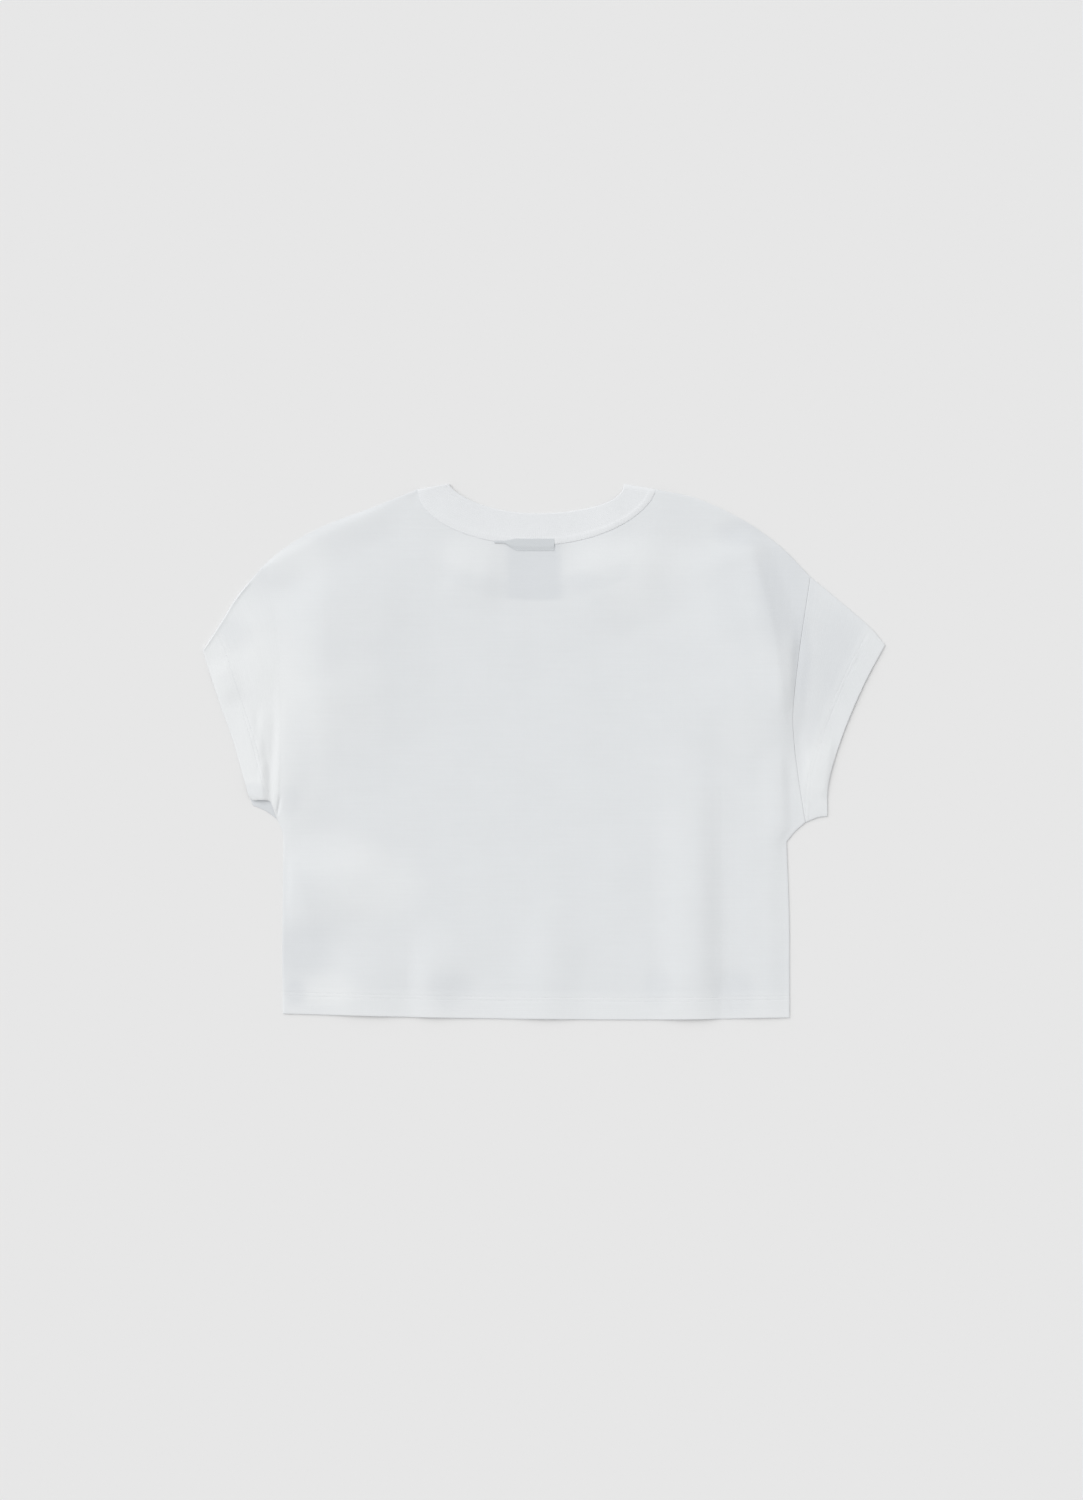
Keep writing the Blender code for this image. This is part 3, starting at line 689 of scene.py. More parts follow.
def loops_of_knit(tree, place, width, height):
    """Height of the knitted loops at a place on the cloth: two slanting legs in each column make the V."""
    across = add_node(tree, "ShaderNodeMath", {0: place["X"], 1: 1 / width}, operation="MULTIPLY")
    column = add_node(tree, "ShaderNodeMath", {0: across.outputs[0]}, operation="FRACT")
    middle = add_node(tree, "ShaderNodeMath", {0: column.outputs[0], 1: 0.5}, operation="SUBTRACT")
    from_middle = add_node(tree, "ShaderNodeMath", {0: middle.outputs[0]}, operation="ABSOLUTE")
    turn = add_node(tree, "ShaderNodeMath", {0: from_middle.outputs[0], 1: 2 * np.pi}, operation="MULTIPLY")
    legs = add_node(tree, "ShaderNodeMath", {0: turn.outputs[0]}, operation="SINE")
    up = add_node(tree, "ShaderNodeMath", {
        0: place["Y"], 1: 1 / height, 2: from_middle.outputs[0],
    }, operation="MULTIPLY_ADD")
    row = add_node(tree, "ShaderNodeMath", {0: up.outputs[0]}, operation="FRACT")
    half_turn = add_node(tree, "ShaderNodeMath", {0: row.outputs[0], 1: np.pi}, operation="MULTIPLY")
    bulge = add_node(tree, "ShaderNodeMath", {0: half_turn.outputs[0]}, operation="SINE")
    loops = add_node(tree, "ShaderNodeMath", {0: legs.outputs[0], 1: bulge.outputs[0]}, operation="MULTIPLY")
    return loops.outputs[0]


print("jersey loops drawn", LOOP_WIDTH * DRAWN_LARGER, "by", LOOP_HEIGHT * DRAWN_LARGER, "mm")

# %% Material: white cotton jersey
STREAK_LENGTH = 45.0  # along a row, until the yarn changes
STREAK_HEIGHT = 1.6  # about three real rows
STREAK_SHADE = 0.988
CLOUD_SIZE = 38.0  # blotches as wide as a few fingers, from yarn and pressing
CLOUD_SHADE = 0.985
# The mix between these two also paints light and shade, down to this grey in the open corner of the left
# cuff.
JERSEY_OVER_BOARD = "#DADDE0"
JERSEY_OVER_CLOTH = "#EAECED"


def cotton_jersey():
    material, tree, cloth_map, place = new_cloth("white_cotton_jersey")
    size = DRAWN_LARGER * MM
    loops = loops_of_knit(tree, place, LOOP_WIDTH * size, LOOP_HEIGHT * size)
    stretch = (1 / (STREAK_LENGTH * MM), 1 / (STREAK_HEIGHT * MM), 1)
    long_place = add_node(tree, "ShaderNodeMapping", {0: cloth_map, "Scale": stretch})
    streaks = mottled(tree, long_place.outputs[0], scale=1.0, detail=1.5, darkest=STREAK_SHADE)
    clouds = mottled(tree, cloth_map, scale=1 / (CLOUD_SIZE * MM), detail=3.0, darkest=CLOUD_SHADE)
    both = add_node(tree, "ShaderNodeMath", {0: streaks, 1: clouds}, operation="MULTIPLY")
    # This number picks the colour from how much cloth lies under, and it also carries painted light and
    # shade.
    under = add_node(tree, "ShaderNodeAttribute", attribute_name="backing_and_shade")
    cloth = add_node(tree, "ShaderNodeMix", {
        "Factor": under.outputs["Fac"], 6: linear(JERSEY_OVER_BOARD), 7: linear(JERSEY_OVER_CLOTH),
    }, data_type="RGBA")
    finish_cloth(tree, cloth.outputs[2], both.outputs[0], loops, depth=LOOP_DEPTH, strength=0.6, inputs={
        **COTTON, "Roughness": 0.92, "Sheen Weight": 0.15,
    })
    return material


JERSEY_CLOTH = cotton_jersey()
print("streaks", STREAK_LENGTH, "by", STREAK_HEIGHT, "mm, clouds", CLOUD_SIZE, "mm")

# %% [markdown]
# ## The body panels
#
# A panel could be cut out of a fine flat mesh, but then its points would not follow its hem and seams. So
# it is a grid between four borders: hem, two sides and the shoulders with the neckline. Its rows and
# columns crowd where the cloth bends: at the hem, the stitch rows, the folded sides and the seams.

# %% Spacing of rows and columns
CELL = 3.0
UNDERARM_ROWS = 6
FINE_EDGE = (0, 0.4, 1.0, 1.8, 2.8, 4.2)
# From the hem's edge, closer at its roll and at both rows of stitches.
HEM_ROWS = (0, 0.15, 0.4, 1.0, 2.5, 5, 8, 11, 14, 15.5, 16, 16.5, 17, 18, 19, 19.5, 20, 20.5, 22, 24)
SHOULDER_LENGTH, SIDE_LENGTH, ARMHOLE_LENGTH = 151.0, 160.0, 230.0  # only to space the points


def shares(distances):
    """Distances along a line as shares of the last one."""
    return np.array(distances, float) / distances[-1]


def spaced(start, end, cell=CELL):
    """Even distances from start to end, about a cell apart, without start."""
    return np.linspace(start, end, round((end - start) / cell) + 1)[1:]


FROM_FOLD = np.array([*FINE_EDGE, *spaced(FINE_EDGE[-1], SHOULDER_LENGTH)])
UP_SIDE = np.array([*HEM_ROWS, *spaced(HEM_ROWS[-1], SIDE_LENGTH)])
TO_EDGE = ARMHOLE_LENGTH - np.array(FINE_EDGE)[::-1]
UP_ARMHOLE = np.array([*FINE_EDGE[:-1], *spaced(FINE_EDGE[-2], TO_EDGE[0]), *TO_EDGE[1:]])
print("points along a shoulder, up a side and up an armhole:",
      [len(places) for places in (FROM_FOLD, UP_SIDE, UP_ARMHOLE)])

# %% Points of a neckline


def neck_line(neck, inset, turns):
    """A neckline at these shares of its half turn. inset is how far inside the seam it runs."""
    turn = np.pi * np.asarray(turns)
    is_left = turn < np.pi / 2
    seam_power = np.where(is_left, neck.seam_left, neck.seam_right)
    edge_power = np.where(is_left, neck.edge_left, neck.edge_right)
    power = seam_power + (edge_power - seam_power) * max(inset, 0) / NECKBAND_WIDTH
    rise = NECKBAND_RISE * inset / NECKBAND_WIDTH
    x = -(NECK_HALF_WIDTH - inset) * np.cos(turn)
    y = NECK_POINT_HEIGHT + rise - (neck.drop - inset + rise) * np.sin(turn) ** power
    return np.stack([x, y], axis=1)


def even_turns(neck, count):
    """Shares of the half turn at which a neckline's points are evenly spaced."""
    turns = np.linspace(0, 1, PER_LINE * 4)
    steps = np.linalg.norm(np.diff(neck_line(neck, 0, turns), axis=0), axis=1)
    run = np.concatenate([[0], np.cumsum(steps)]) / steps.sum()
    return np.interp(np.linspace(0, 1, count), run, turns)


print(f"back neck seam {length_of(neck_line(BACK_NECK, 0, even_turns(BACK_NECK, PER_LINE))):.0f} mm long")

# %% The plan of a panel
NECK_GAP = 0.04  # between the panel and the neckband


def fill(bottom, top, left, right, across, up, reach):
    """A grid inside four border lines: bottom and top run left to right, left and right run upwards."""
    u, v = np.asarray(across)[None, :, None], np.asarray(up)[:, None, None]
    sides = {0: (1 - v) * bottom[0] + v * top[0], 1: (1 - v) * bottom[-1] + v * top[-1]}
    ends = {0: (1 - u) * bottom[0] + u * bottom[-1], 1: (1 - u) * top[0] + u * top[-1]}
    near_left = np.clip(1 - u / reach, 0, 1) ** 2
    near_right = np.clip(1 - (1 - u) / reach, 0, 1) ** 2
    return (
        (1 - u) * sides[0] + u * sides[1]
        + near_left * (left[:, None] - sides[0]) + near_right * (right[:, None] - sides[1])
        + (1 - v**2) * (bottom[None] - ends[0]) + v**2 * (top[None] - ends[1])
    )


def join(*lines):
    """Lines that follow on from each other, as one, with each shared point once."""
    return np.vstack([lines[0], *[line[1:] for line in lines[1:]]])


def body_plan(neck):
    """A panel's grid, the row at which its armhole starts, and how many columns each shoulder takes."""
    neck_width = 2 * NECK_HALF_WIDTH
    seam = neck_line(neck, -NECK_GAP, even_turns(neck, round(neck_width / CELL)))
    inward = shares(FROM_FOLD)
    shoulders = {side: along(side_of(SHOULDER, side)[::-1], inward)[:-1] for side in (-1, 1)}
    top = np.vstack([shoulders[-1], seam, shoulders[1][::-1]])
    width = HEM[-1][0] - HEM[0][0]
    left_share = (-NECK_HALF_WIDTH - HEM[0][0]) / width
    right_share = (HEM[-1][0] - NECK_HALF_WIDTH) / width
    neck_share = (seam[:, 0] - seam[0, 0]) / (seam[-1, 0] - seam[0, 0])
    across = np.concatenate([
        left_share * inward[:-1],
        left_share + (1 - left_share - right_share) * neck_share,
        1 - right_share * inward[-2::-1],
    ])
    borders = {
        side: join(
            along(side_of(SIDE, side)[::-1], shares(UP_SIDE)),
            along(side_of(UNDERARM, side)[::-1], np.linspace(0, 1, UNDERARM_ROWS + 1)),
            along(side_of(ARMHOLE, side)[::-1], shares(UP_ARMHOLE)),
        )
        for side in (-1, 1)
    }
    climb = np.linalg.norm(np.diff(borders[-1], axis=0), axis=1)
    up = np.concatenate([[0], np.cumsum(climb)]) / climb.sum()
    reach = min(left_share, right_share)
    plan = fill(along(HEM_LINE, across), top, borders[-1], borders[1], across, up, reach)
    return plan, len(UP_SIDE) - 1 + UNDERARM_ROWS, len(FROM_FOLD) - 1


print("body grid:", body_plan(BACK_NECK)[0].shape)

# %% [markdown]
# ### Edges
#
# A folded edge is rounded, a sewn edge dips a little into its seam, and a turned hem ends in a small
# round roll. A Bevel modifier would round them all alike, so each edge gets its own way of thinning the
# wall.

# %% Rounded, dipped and rolled edges
FOLD_EDGE = 0.25  # what is left of a layer's thickness at a folded edge
FOLD_ROUND = 2.6
SEAM_DIPS = {-1: 0.01, 1: 0.2}
NECK_DIPS = (0.0, 0.1)  # at the left and the right end of the back neck
HEM_ROUND = 0.8
RIM = 0.15  # share of the wall left at a rounded rim


def rounding(away, reach):
    """0 at an edge and 1 from reach inwards, as a quarter circle."""
    return np.sqrt(1 - (1 - np.clip(away / reach, 0, 1)) ** 2)


def away_from(plan, edge):
    """How far each grid point is from the point of an edge in its own row or column."""
    return np.linalg.norm(plan - edge, axis=2)


def body_fullness(plan, seam_row, shoulder_columns):
    """How full the panel is at each grid point: thin at a folded edge, and a little dipped at a seam."""
    full = rounding(away_from(plan, plan[-1:]), FOLD_ROUND)
    neck_part = slice(shoulder_columns + 1, -shoulder_columns - 1)
    dips = np.linspace(*NECK_DIPS, full[:, neck_part].shape[1])
    full[:, neck_part] = 1 - dips / (JERSEY - FOLD_EDGE) * (1 - full[:, neck_part])
    for edge, dip in ((plan[:, :1], SEAM_DIPS[-1]), (plan[:, -1:], SEAM_DIPS[1])):
        at_side = rounding(away_from(plan, edge), FOLD_ROUND)
        at_side[seam_row + 1 :] = 1 - dip / (JERSEY - FOLD_EDGE) * (1 - at_side[seam_row + 1 :])
        full = np.minimum(full, at_side)
    return full


def over_plan(height, plan):
    """A function of points, worked out over a grid."""
    found = height(plan.reshape(-1, 2))
    if isinstance(found, tuple):
        return [part.reshape(plan.shape[:2]) for part in found]
    return found.reshape(plan.shape[:2])


def rolled(away, low, high):
    """A wall with its edge drawn together into a round roll."""
    middle = (low + high) / 2
    half = (high - low) / 2 * np.maximum(rounding(away, HEM_ROUND), RIM)
    return middle - half, middle + half


def raised(plan, z):
    """Plan points with their heights."""
    return np.concatenate([plan, z[..., None]], axis=2)


print("at a folded edge a layer thins from", JERSEY, "to", FOLD_EDGE, "mm")

# %% [markdown]
# ### Back and front
#
# The back lies on top, so it has every fold. How much cloth is under it decides its tone: least on the
# bare board inside the neck, more over the front, and most over a turned hem. Soft patches add painted
# light and shade to that: lighter where the lamp falls on a fold, darker in the shade of folds and seams,
# and in the open corner of the left cuff.
# The front lies face down on the board: its underside stays flat, but for the dents of its own hem
# stitches, and its edges round up to meet the back.

# %% Patches of painted light and shade
Patch = namedtuple("Patch", "name x y across up change")
LIGHT_AND_SHADE_PATCHES = (
    Patch("left sleeve", -266, 268, 104, 150, 0.6),
    Patch("left side, along its fold", -190, 152, 70, 30, 0.15),
    Patch("left side, low", -212, 64, 42, 36, -0.25),
    Patch("hem, left corner", -217, 24, 14, 16, -0.38),
    Patch("hem, by the left corner", -186, 28, 34, 22, 0.28),
    Patch("left back, low", -150, 122, 62, 46, 0.25),
    Patch("by the left armhole", -216, 240, 22, 62, -0.25),
    Patch("left underarm", -222, 196, 14, 20, -0.25),
    Patch("left shoulder point", -215, 415, 42, 26, 0.18),
    Patch("left shoulder blade, high", -165, 360, 50, 26, 0.12),
    Patch("left shoulder blade, low", -165, 285, 40, 60, 0.15),
    Patch("left cuff, high", -277, 346, 30, 24, -0.25),
    Patch("left cuff corner", -255, 206, 17, 13, -0.6),
    Patch("left of the label", -62, 416, 40, 28, 0.18),
    Patch("right neck, by the seam", 80, 414, 78, 34, 0.2),
    Patch("right of the label", 42, 396, 22, 12, -0.18),
    Patch("right shoulder", 186, 438, 34, 18, -0.3),
    Patch("right neck, low", 86, 378, 34, 22, 0.14),
    Patch("right shoulder point", 222, 385, 34, 70, -0.4),
    Patch("right shoulder blade", 185, 385, 44, 70, -0.15),
    Patch("right sleeve, outside", 270, 325, 34, 56, -0.18),
    Patch("right armhole seam", 238, 322, 13, 58, -0.42),
    Patch("right sleeve, low", 250, 222, 28, 46, 0.22),
    Patch("right back, middle", 185, 262, 32, 32, 0.12),
    Patch("right side, low", 212, 110, 20, 70, 0.1),
    Patch("hem, right", 178, 24, 26, 30, -0.28),
    Patch("hem, right of the middle", 108, 30, 18, 26, -0.2),
    Patch("hem, left of the middle", -77, 28, 28, 24, -0.2),
)
print(len(LIGHT_AND_SHADE_PATCHES), "patches")

# %% How much cloth is under a place, with painted light and shade
BACKING_ONE_LAYER = 0.45
BACKING_HEM = 0.66
PATCH_CORE = 0.3  # the share of a patch's size in which it has its full change
BARE_BOTTOM = 375.5  # where the back lies on the bare board: the bottom of that patch
BARE_RISE = 24.0  # how much its lower edge has risen at the sides
BARE_HALF_WIDTH = 92.0
BARE_EDGE = 4.0
BARE_SIDE_EDGE = 12.0
BARE_MIDDLE = -2.0
BARE_FADE = (19.0, 31.0)  # it fades sideways between these distances from its middle
BARE_AT_SIDES = 0.25


def backing_and_shade_of(points):
    """0 over the bare board, 1 over much cloth, with the patches' painted light and shade added."""
    found = BACKING_ONE_LAYER + (BACKING_HEM - BACKING_ONE_LAYER) * turned_up(points)
    # Each patch paints light where its change is above zero, and shade where it is below.
    for patch in LIGHT_AND_SHADE_PATCHES:
        from_middle = np.hypot((points[:, 0] - patch.x) / patch.across, (points[:, 1] - patch.y) / patch.up)
        found += patch.change * (1 - step(from_middle, PATCH_CORE, 1))
    found = np.clip(found, 0, 1)
    sideways = abs(points[:, 0] - BARE_MIDDLE)
    lower_edge = BARE_BOTTOM + BARE_RISE * (sideways / BARE_HALF_WIDTH) ** 2
    above = points[:, 1] - lower_edge
    to_side = step(sideways, *BARE_FADE)
    bare = step(above, 0, BARE_EDGE) * (1 - (1 - BARE_AT_SIDES) * to_side)
    bare *= 1 - to_side * step(above, BARE_SIDE_EDGE, 2 * BARE_SIDE_EDGE)
    return found * (1 - bare * (1 - step(sideways, BARE_HALF_WIDTH - BARE_SIDE_EDGE, BARE_HALF_WIDTH)))


print("backing on the front and in the neck:", backing_and_shade_of(np.array([ON_FRONT, IN_NECK])).round(2))

# %% Back and front panels


def back_panel():
    plan, seam_row, columns = body_plan(BACK_NECK)
    low, high = over_plan(upper_layer, plan)
    high = low + FOLD_EDGE + (high - low - FOLD_EDGE) * body_fullness(plan, seam_row, columns)
    low, high = rolled(away_from(plan, plan[:1]), low, high)
    backing_and_shade = over_plan(backing_and_shade_of, plan)
    return shell("back_cloth", raised(plan, high), raised(plan, low), plan, backing_and_shade, JERSEY_CLOTH)


def front_panel():
    plan, seam_row, columns = body_plan(FRONT_NECK)
    high = over_plan(thickness, plan)
    full = body_fullness(plan, seam_row, columns)
    low = (high - FOLD_EDGE) * (1 - full) + over_plan(stitch_dents, plan)
    low, high = rolled(away_from(plan, plan[:1]), low, high)
    backing_and_shade = np.full(plan.shape[:2], BACKING_ONE_LAYER)
    return shell("front_cloth", raised(plan, high), raised(plan, low), plan, backing_and_shade, JERSEY_CLOTH)


back_cloth = back_panel()
front_cloth = front_panel()

# %% [markdown]
# ## The sleeves
#
# A cap sleeve is one short piece, sewn into a tube and hemmed. Pressed flat it has an upper and a lower
# layer, which meet along a fold on top and another under the arm. They could be two sheets, but one
# closed tube keeps its folds whole. On the left the upper layer has lifted off at the lower corner of its
# cuff, so that the sleeve stands open there and shows a little of its shaded inside.

# %% Rows and columns of a sleeve
SLEEVE_CELL = 2.2
STITCHED = (44, 51)  # the stretch that holds both rows of stitches
STITCHED_CELL = 0.5
CUFF_EDGE = (64.5, 65.4, 65.8, 66.0)
OUTWARD = np.array([
    *FINE_EDGE[:-1], *spaced(FINE_EDGE[-2], STITCHED[0], SLEEVE_CELL), *spaced(*STITCHED, STITCHED_CELL),
    *spaced(STITCHED[1], CUFF_EDGE[0], SLEEVE_CELL), *CUFF_EDGE[1:],
])
DOWN = np.array([*FINE_EDGE[:-1], *spaced(FINE_EDGE[-2], TO_EDGE[1], SLEEVE_CELL), *TO_EDGE[2:]])
print("a layer of a sleeve has", len(OUTWARD), "rows and", len(DOWN), "columns")

# %% The plan of a sleeve
SEAM_GAPS = {-1: 0.01, 1: 0.15}  # the left armhole seam is pulled tight, the right one lies a little open
OPEN_CORNER = ((-300.3, 332), (-287, 290), (-274, 252), (-264.6, 216), (-259.6, 200), (-251, 199.4),
               (-243, 198.4), (-240.2, 191), (-237.5, 182.6))
OPEN_UNDER_FOLD = ((-234.0, 180.5), (-237.5, 182.6))


def cuff_and_under(side, is_upper):
    """The line of the cuff, and the line of the fold under the arm."""
    if side > 0:
        return CUFF_LINES[side], side_of(UNDER_SLEEVE, side)[::-1]
    under = np.array(OPEN_UNDER_FOLD)
    if is_upper:
        return smooth(OPEN_CORNER), under
    whole = join(CUFF_LINES[side], side_of(UNDER_SLEEVE, side))
    near_fold = np.linalg.norm(whole - under[-1], axis=1).argmin()
    return join(whole[:near_fold], under[[-1, -1]]), under


def sleeve_plan(side, is_upper, inset):
    """A layer's plan: rows from armhole to cuff, columns from its top fold to its under fold."""
    armhole = side_of(ARMHOLE, side) + [side * SEAM_GAPS[side], 0]
    cuff, under = cuff_and_under(side, is_upper)
    length = length_of(armhole)
    down = inset / length + shares(DOWN) * (1 - 2 * inset / length)
    top = join(armhole[:1], side_of(SLEEVE_TOP, side)[1:])
    under = join(armhole[-1:], under[1:])
    outward = shares(OUTWARD)
    return fill(
        along(armhole, down), along(cuff, down), along(top, outward), along(under, outward), down, outward, 1
    )


print(f"left cuff, upper layer: {length_of(cuff_and_under(-1, True)[0]):.0f} mm")

# %% Sleeves


def sleeve(name, side):
    plans = [sleeve_plan(side, is_upper, 0) for is_upper in (True, False)]
    linings = [sleeve_plan(side, is_upper, JERSEY) for is_upper in (True, False)]
    full = [
        np.minimum(rounding(away_from(plan, plan[:, :1]), FOLD_ROUND),
                   rounding(away_from(plan, plan[:, -1:]), FOLD_ROUND))
        for plan in plans
    ]
    dips = [SEAM_DIPS[side] * (1 - rounding(away_from(plan, plan[:1]), FOLD_ROUND)) for plan in plans]
    low, high = over_plan(upper_layer, plans[0])
    upper = low + FOLD_EDGE + (high - low - dips[0] - FOLD_EDGE) * full[0]
    roof = over_plan(upper_layer, linings[0])[0]
    roof, upper = rolled(away_from(plans[0], plans[0][-1:]), roof, upper)
    wall = over_plan(thickness, plans[1])
    lower = dips[1] + (wall - dips[1] - FOLD_EDGE) * (1 - full[1]) + over_plan(stitch_dents, plans[1])
    floor = over_plan(thickness, linings[1])
    lower, floor = rolled(away_from(plans[1], plans[1][-1:]), lower, floor)
    skin = np.concatenate([raised(plans[0], upper), raised(plans[1], lower)[:, ::-1]], axis=1)
    lining = np.concatenate([raised(linings[0], roof), raised(linings[1], floor)[:, ::-1]], axis=1)
    around = np.concatenate([DOWN, 2 * ARMHOLE_LENGTH - DOWN[::-1], [2 * ARMHOLE_LENGTH]])
    knit = np.stack(np.meshgrid(around, -OUTWARD), axis=2)
    # The lower layer gets 0, the greyest jersey: painted shade for the inside of the sleeve that shows at the
    # open corner of the left cuff.
    backing_and_shade = np.concatenate([over_plan(backing_and_shade_of, plans[0]), np.zeros(plans[1].shape[:2])], axis=1)
    return shell(name, skin, lining, knit, backing_and_shade, JERSEY_CLOTH, is_tube=True)


sleeve_cloths = {-1: sleeve("sleeve_cloth_left", -1), 1: sleeve("sleeve_cloth_right", 1)}

# %% [markdown]
# ## The rib neckband
#
# The band is a strip of 1 by 1 rib knit in the same white cotton, folded double and stretched a little as
# it is sewn to the neck. Two layers of it hide what lies below, so the band is an even white, ruled with
# fine shades. The ribs could be a bump in the material, but as real ridges, about 2 mm apart, they also
# show along the band's edge. They stand square to the seam all the way round. The seam allowance is
# pressed up behind the band and shows through it as a flat step.

# %% Material: white cotton rib
RIB_PITCH = 2.0
RIB_CLOUD_SIZE = 19.0  # half as wide as on the jersey
RIB_WHITE = "#E7E9EB"


def cotton_rib():
    material, tree, cloth_map, place = new_cloth("white_cotton_rib")
    loops = loops_of_knit(tree, place, RIB_PITCH * MM / 2, LOOP_HEIGHT * DRAWN_LARGER * MM)
    clouds = mottled(tree, cloth_map, scale=1 / (RIB_CLOUD_SIZE * MM), detail=4.0, darkest=CLOUD_SHADE)
    finish_cloth(tree, linear(RIB_WHITE)[:3], clouds, loops, depth=LOOP_DEPTH, strength=0.5, inputs={
        **COTTON, "Roughness": 0.94, "Sheen Weight": 0.2,
    })
    return material


RIB_CLOTH = cotton_rib()
print("rib pitch", RIB_PITCH, "mm")

# %% Half a neckband
PER_RIB = 4  # points across one rib
# From the seam, closer at the step of the allowance and at the edge.
BAND_ACROSS = np.array([0, 0.4, 1, 2, 3.5, 5, 5.7, 6.4, 7, 9, 12, 15, 18, 21, 24, 27.3, 27.9, 28.3, 28.5])


def neck_half(neck):
    """Half the band's plan, its columns' distances along the seam, and its length."""
    length = length_of(neck_line(neck, 0, np.linspace(0, 1, PER_LINE)))
    turns = even_turns(neck, round(length / RIB_PITCH * PER_RIB) + 1)
    plan = np.stack([neck_line(neck, inset, turns) for inset in BAND_ACROSS])
    return plan, np.linspace(0, length, len(turns)), length


print("seams of the neckband:", [round(neck_half(neck)[2]) for neck in (BACK_NECK, FRONT_NECK)], "mm")

# %% Neckband
RIB_DEPTH = 0.16
ALLOWANCE_WIDTH = 7.0
ALLOWANCE_STEP = 2.0
ALLOWANCE_HEIGHTS = (0.1, 0.3)
BAND_DIPS = (0.42, 0.6)
BAND_DIP_REACHES = (8.0, 6.0)
BAND_END_ROUND = 4.0


def neckband():
    (back, back_run, back_length), (front, front_run, front_length) = (
        neck_half(neck) for neck in (BACK_NECK, FRONT_NECK)
    )
    across = BAND_ACROSS[:, None]
    on_body = 1 - step(across, ALLOWANCE_WIDTH - ALLOWANCE_STEP, ALLOWANCE_WIDTH)
    skins, linings = [], []
    for plan, run, length, is_upper in ((back, back_run, back_length, True),
                                        (front, front_run, front_length, False)):
        full = rounding(np.minimum(run, length - run)[None], BAND_END_ROUND)
        ribs = RIB_DEPTH / 2 * np.cos(2 * np.pi * run / RIB_PITCH)[None]
        allowance = np.interp(run, (0, length), ALLOWANCE_HEIGHTS)[None] * on_body
        reach = np.interp(run, (0, length), BAND_DIP_REACHES)[None]
        dip = np.interp(run, (0, length), BAND_DIPS)[None] * (1 - rounding(across, reach))
        wall = BAND_DOUBLE - dip + (allowance + ribs - RIB_DEPTH / 2) * full
        if is_upper:
            low = over_plan(upper_layer, plan)[0]
            outer = low + FOLD_EDGE + (wall - FOLD_EDGE) * full
            inner = low
        else:
            inner = np.full(plan.shape[:2], BAND_DOUBLE)
            outer = np.maximum(dip + RIB_DEPTH / 2 - ribs, 0) * full + (BAND_DOUBLE - FOLD_EDGE) * (1 - full)
        bottom, top = rolled(NECKBAND_WIDTH - across, np.minimum(inner, outer), np.maximum(inner, outer))
        skins.append(raised(plan, top if is_upper else bottom))
        linings.append(raised(plan, bottom if is_upper else top))
    skin = np.concatenate([skins[0], skins[1][:, ::-1]], axis=1)
    lining = np.concatenate([linings[0], linings[1][:, ::-1]], axis=1)
    around = np.concatenate([back_run, back_length + front_run, [back_length + front_length]])
    knit = np.stack(np.meshgrid(around, BAND_ACROSS), axis=2)
    return shell("rib_neckband", skin, lining, knit, np.ones(skin.shape[:2]), RIB_CLOTH, is_tube=True)


band_cloth = neckband()

# %% [markdown]
# ## The label
#
# A short plain tape is sewn over the middle of the back neck seam. It is woven from polyester yarn in a
# fine plain weave of about 0.25 mm a thread, drawn coarser here. Polyester is smoother than cotton, so
# the tape has a faint dull shine. It could be a flat card, but a thin wall that follows the seam under it
# has a real edge. Real labels carry words, and this one is left bare.

# %% Material: grey woven tape
THREAD = 0.25
TAPE_DRAWN_LARGER = 4.0
TAPE_SHADE = 0.94  # where a thread dips under the next
TAPE_GREY = "#D1D5D8"


def woven_tape():
    material, tree, _, place = new_cloth("grey_woven_tape")
    beat = np.pi / (THREAD * TAPE_DRAWN_LARGER * MM)
    waves = []
    for axis in ("X", "Y"):
        turn = add_node(tree, "ShaderNodeMath", {0: place[axis], 1: beat}, operation="MULTIPLY")
        waves.append(add_node(tree, "ShaderNodeMath", {0: turn.outputs[0]}, operation="SINE").outputs[0])
    weave = add_node(tree, "ShaderNodeMath", {0: waves[0], 1: waves[1]}, operation="MULTIPLY").outputs[0]
    # Painted shade: the tape is darker where a thread dips under the next.
    shade = add_node(tree, "ShaderNodeMapRange", {"Value": weave, "From Min": -1.0, "To Min": TAPE_SHADE})
    finish_cloth(
        tree, linear(TAPE_GREY)[:3], shade.outputs[0], weave, depth=THREAD / 2, strength=0.5,
        inputs={"Roughness": 0.6, "Sheen Weight": 0.1},
    )
    return material


TAPE = woven_tape()
print("tape thread", THREAD * TAPE_DRAWN_LARGER, "mm as drawn")

# %% Label
LABEL_X = (-38.0, 16.0)
LABEL_Y = (421.8, 432.8)
LABEL_STEP = (-5.0, -1.0)  # from the seam, where the label climbs onto the band
LABEL_CLEARANCE = 0.06
LABEL_THICKNESS = 0.25
LABEL_EDGE = (0, 0.15, 0.5, 1.0)
LABEL_TUCK = (-30.0, -17.0)  # the stretch at its left end that is partly tucked in
TUCKED_TOP = 2.0
TUCKED_BOTTOM = 7.0


def edged(start, end):
    """Places from start to end, about 1 mm apart, closer at both ends."""
    inside = np.arange(start + 2, end - 1)
    return np.concatenate([start + np.array(LABEL_EDGE), inside, end - np.array(LABEL_EDGE[::-1])])


def back_seam(x):
    """How far up the back neck seam is."""
    power = np.where(x < 0, BACK_NECK.seam_left, BACK_NECK.seam_right)
    return NECK_POINT_HEIGHT - BACK_NECK.drop * (1 - (x / NECK_HALF_WIDTH) ** 2) ** (power / 2)


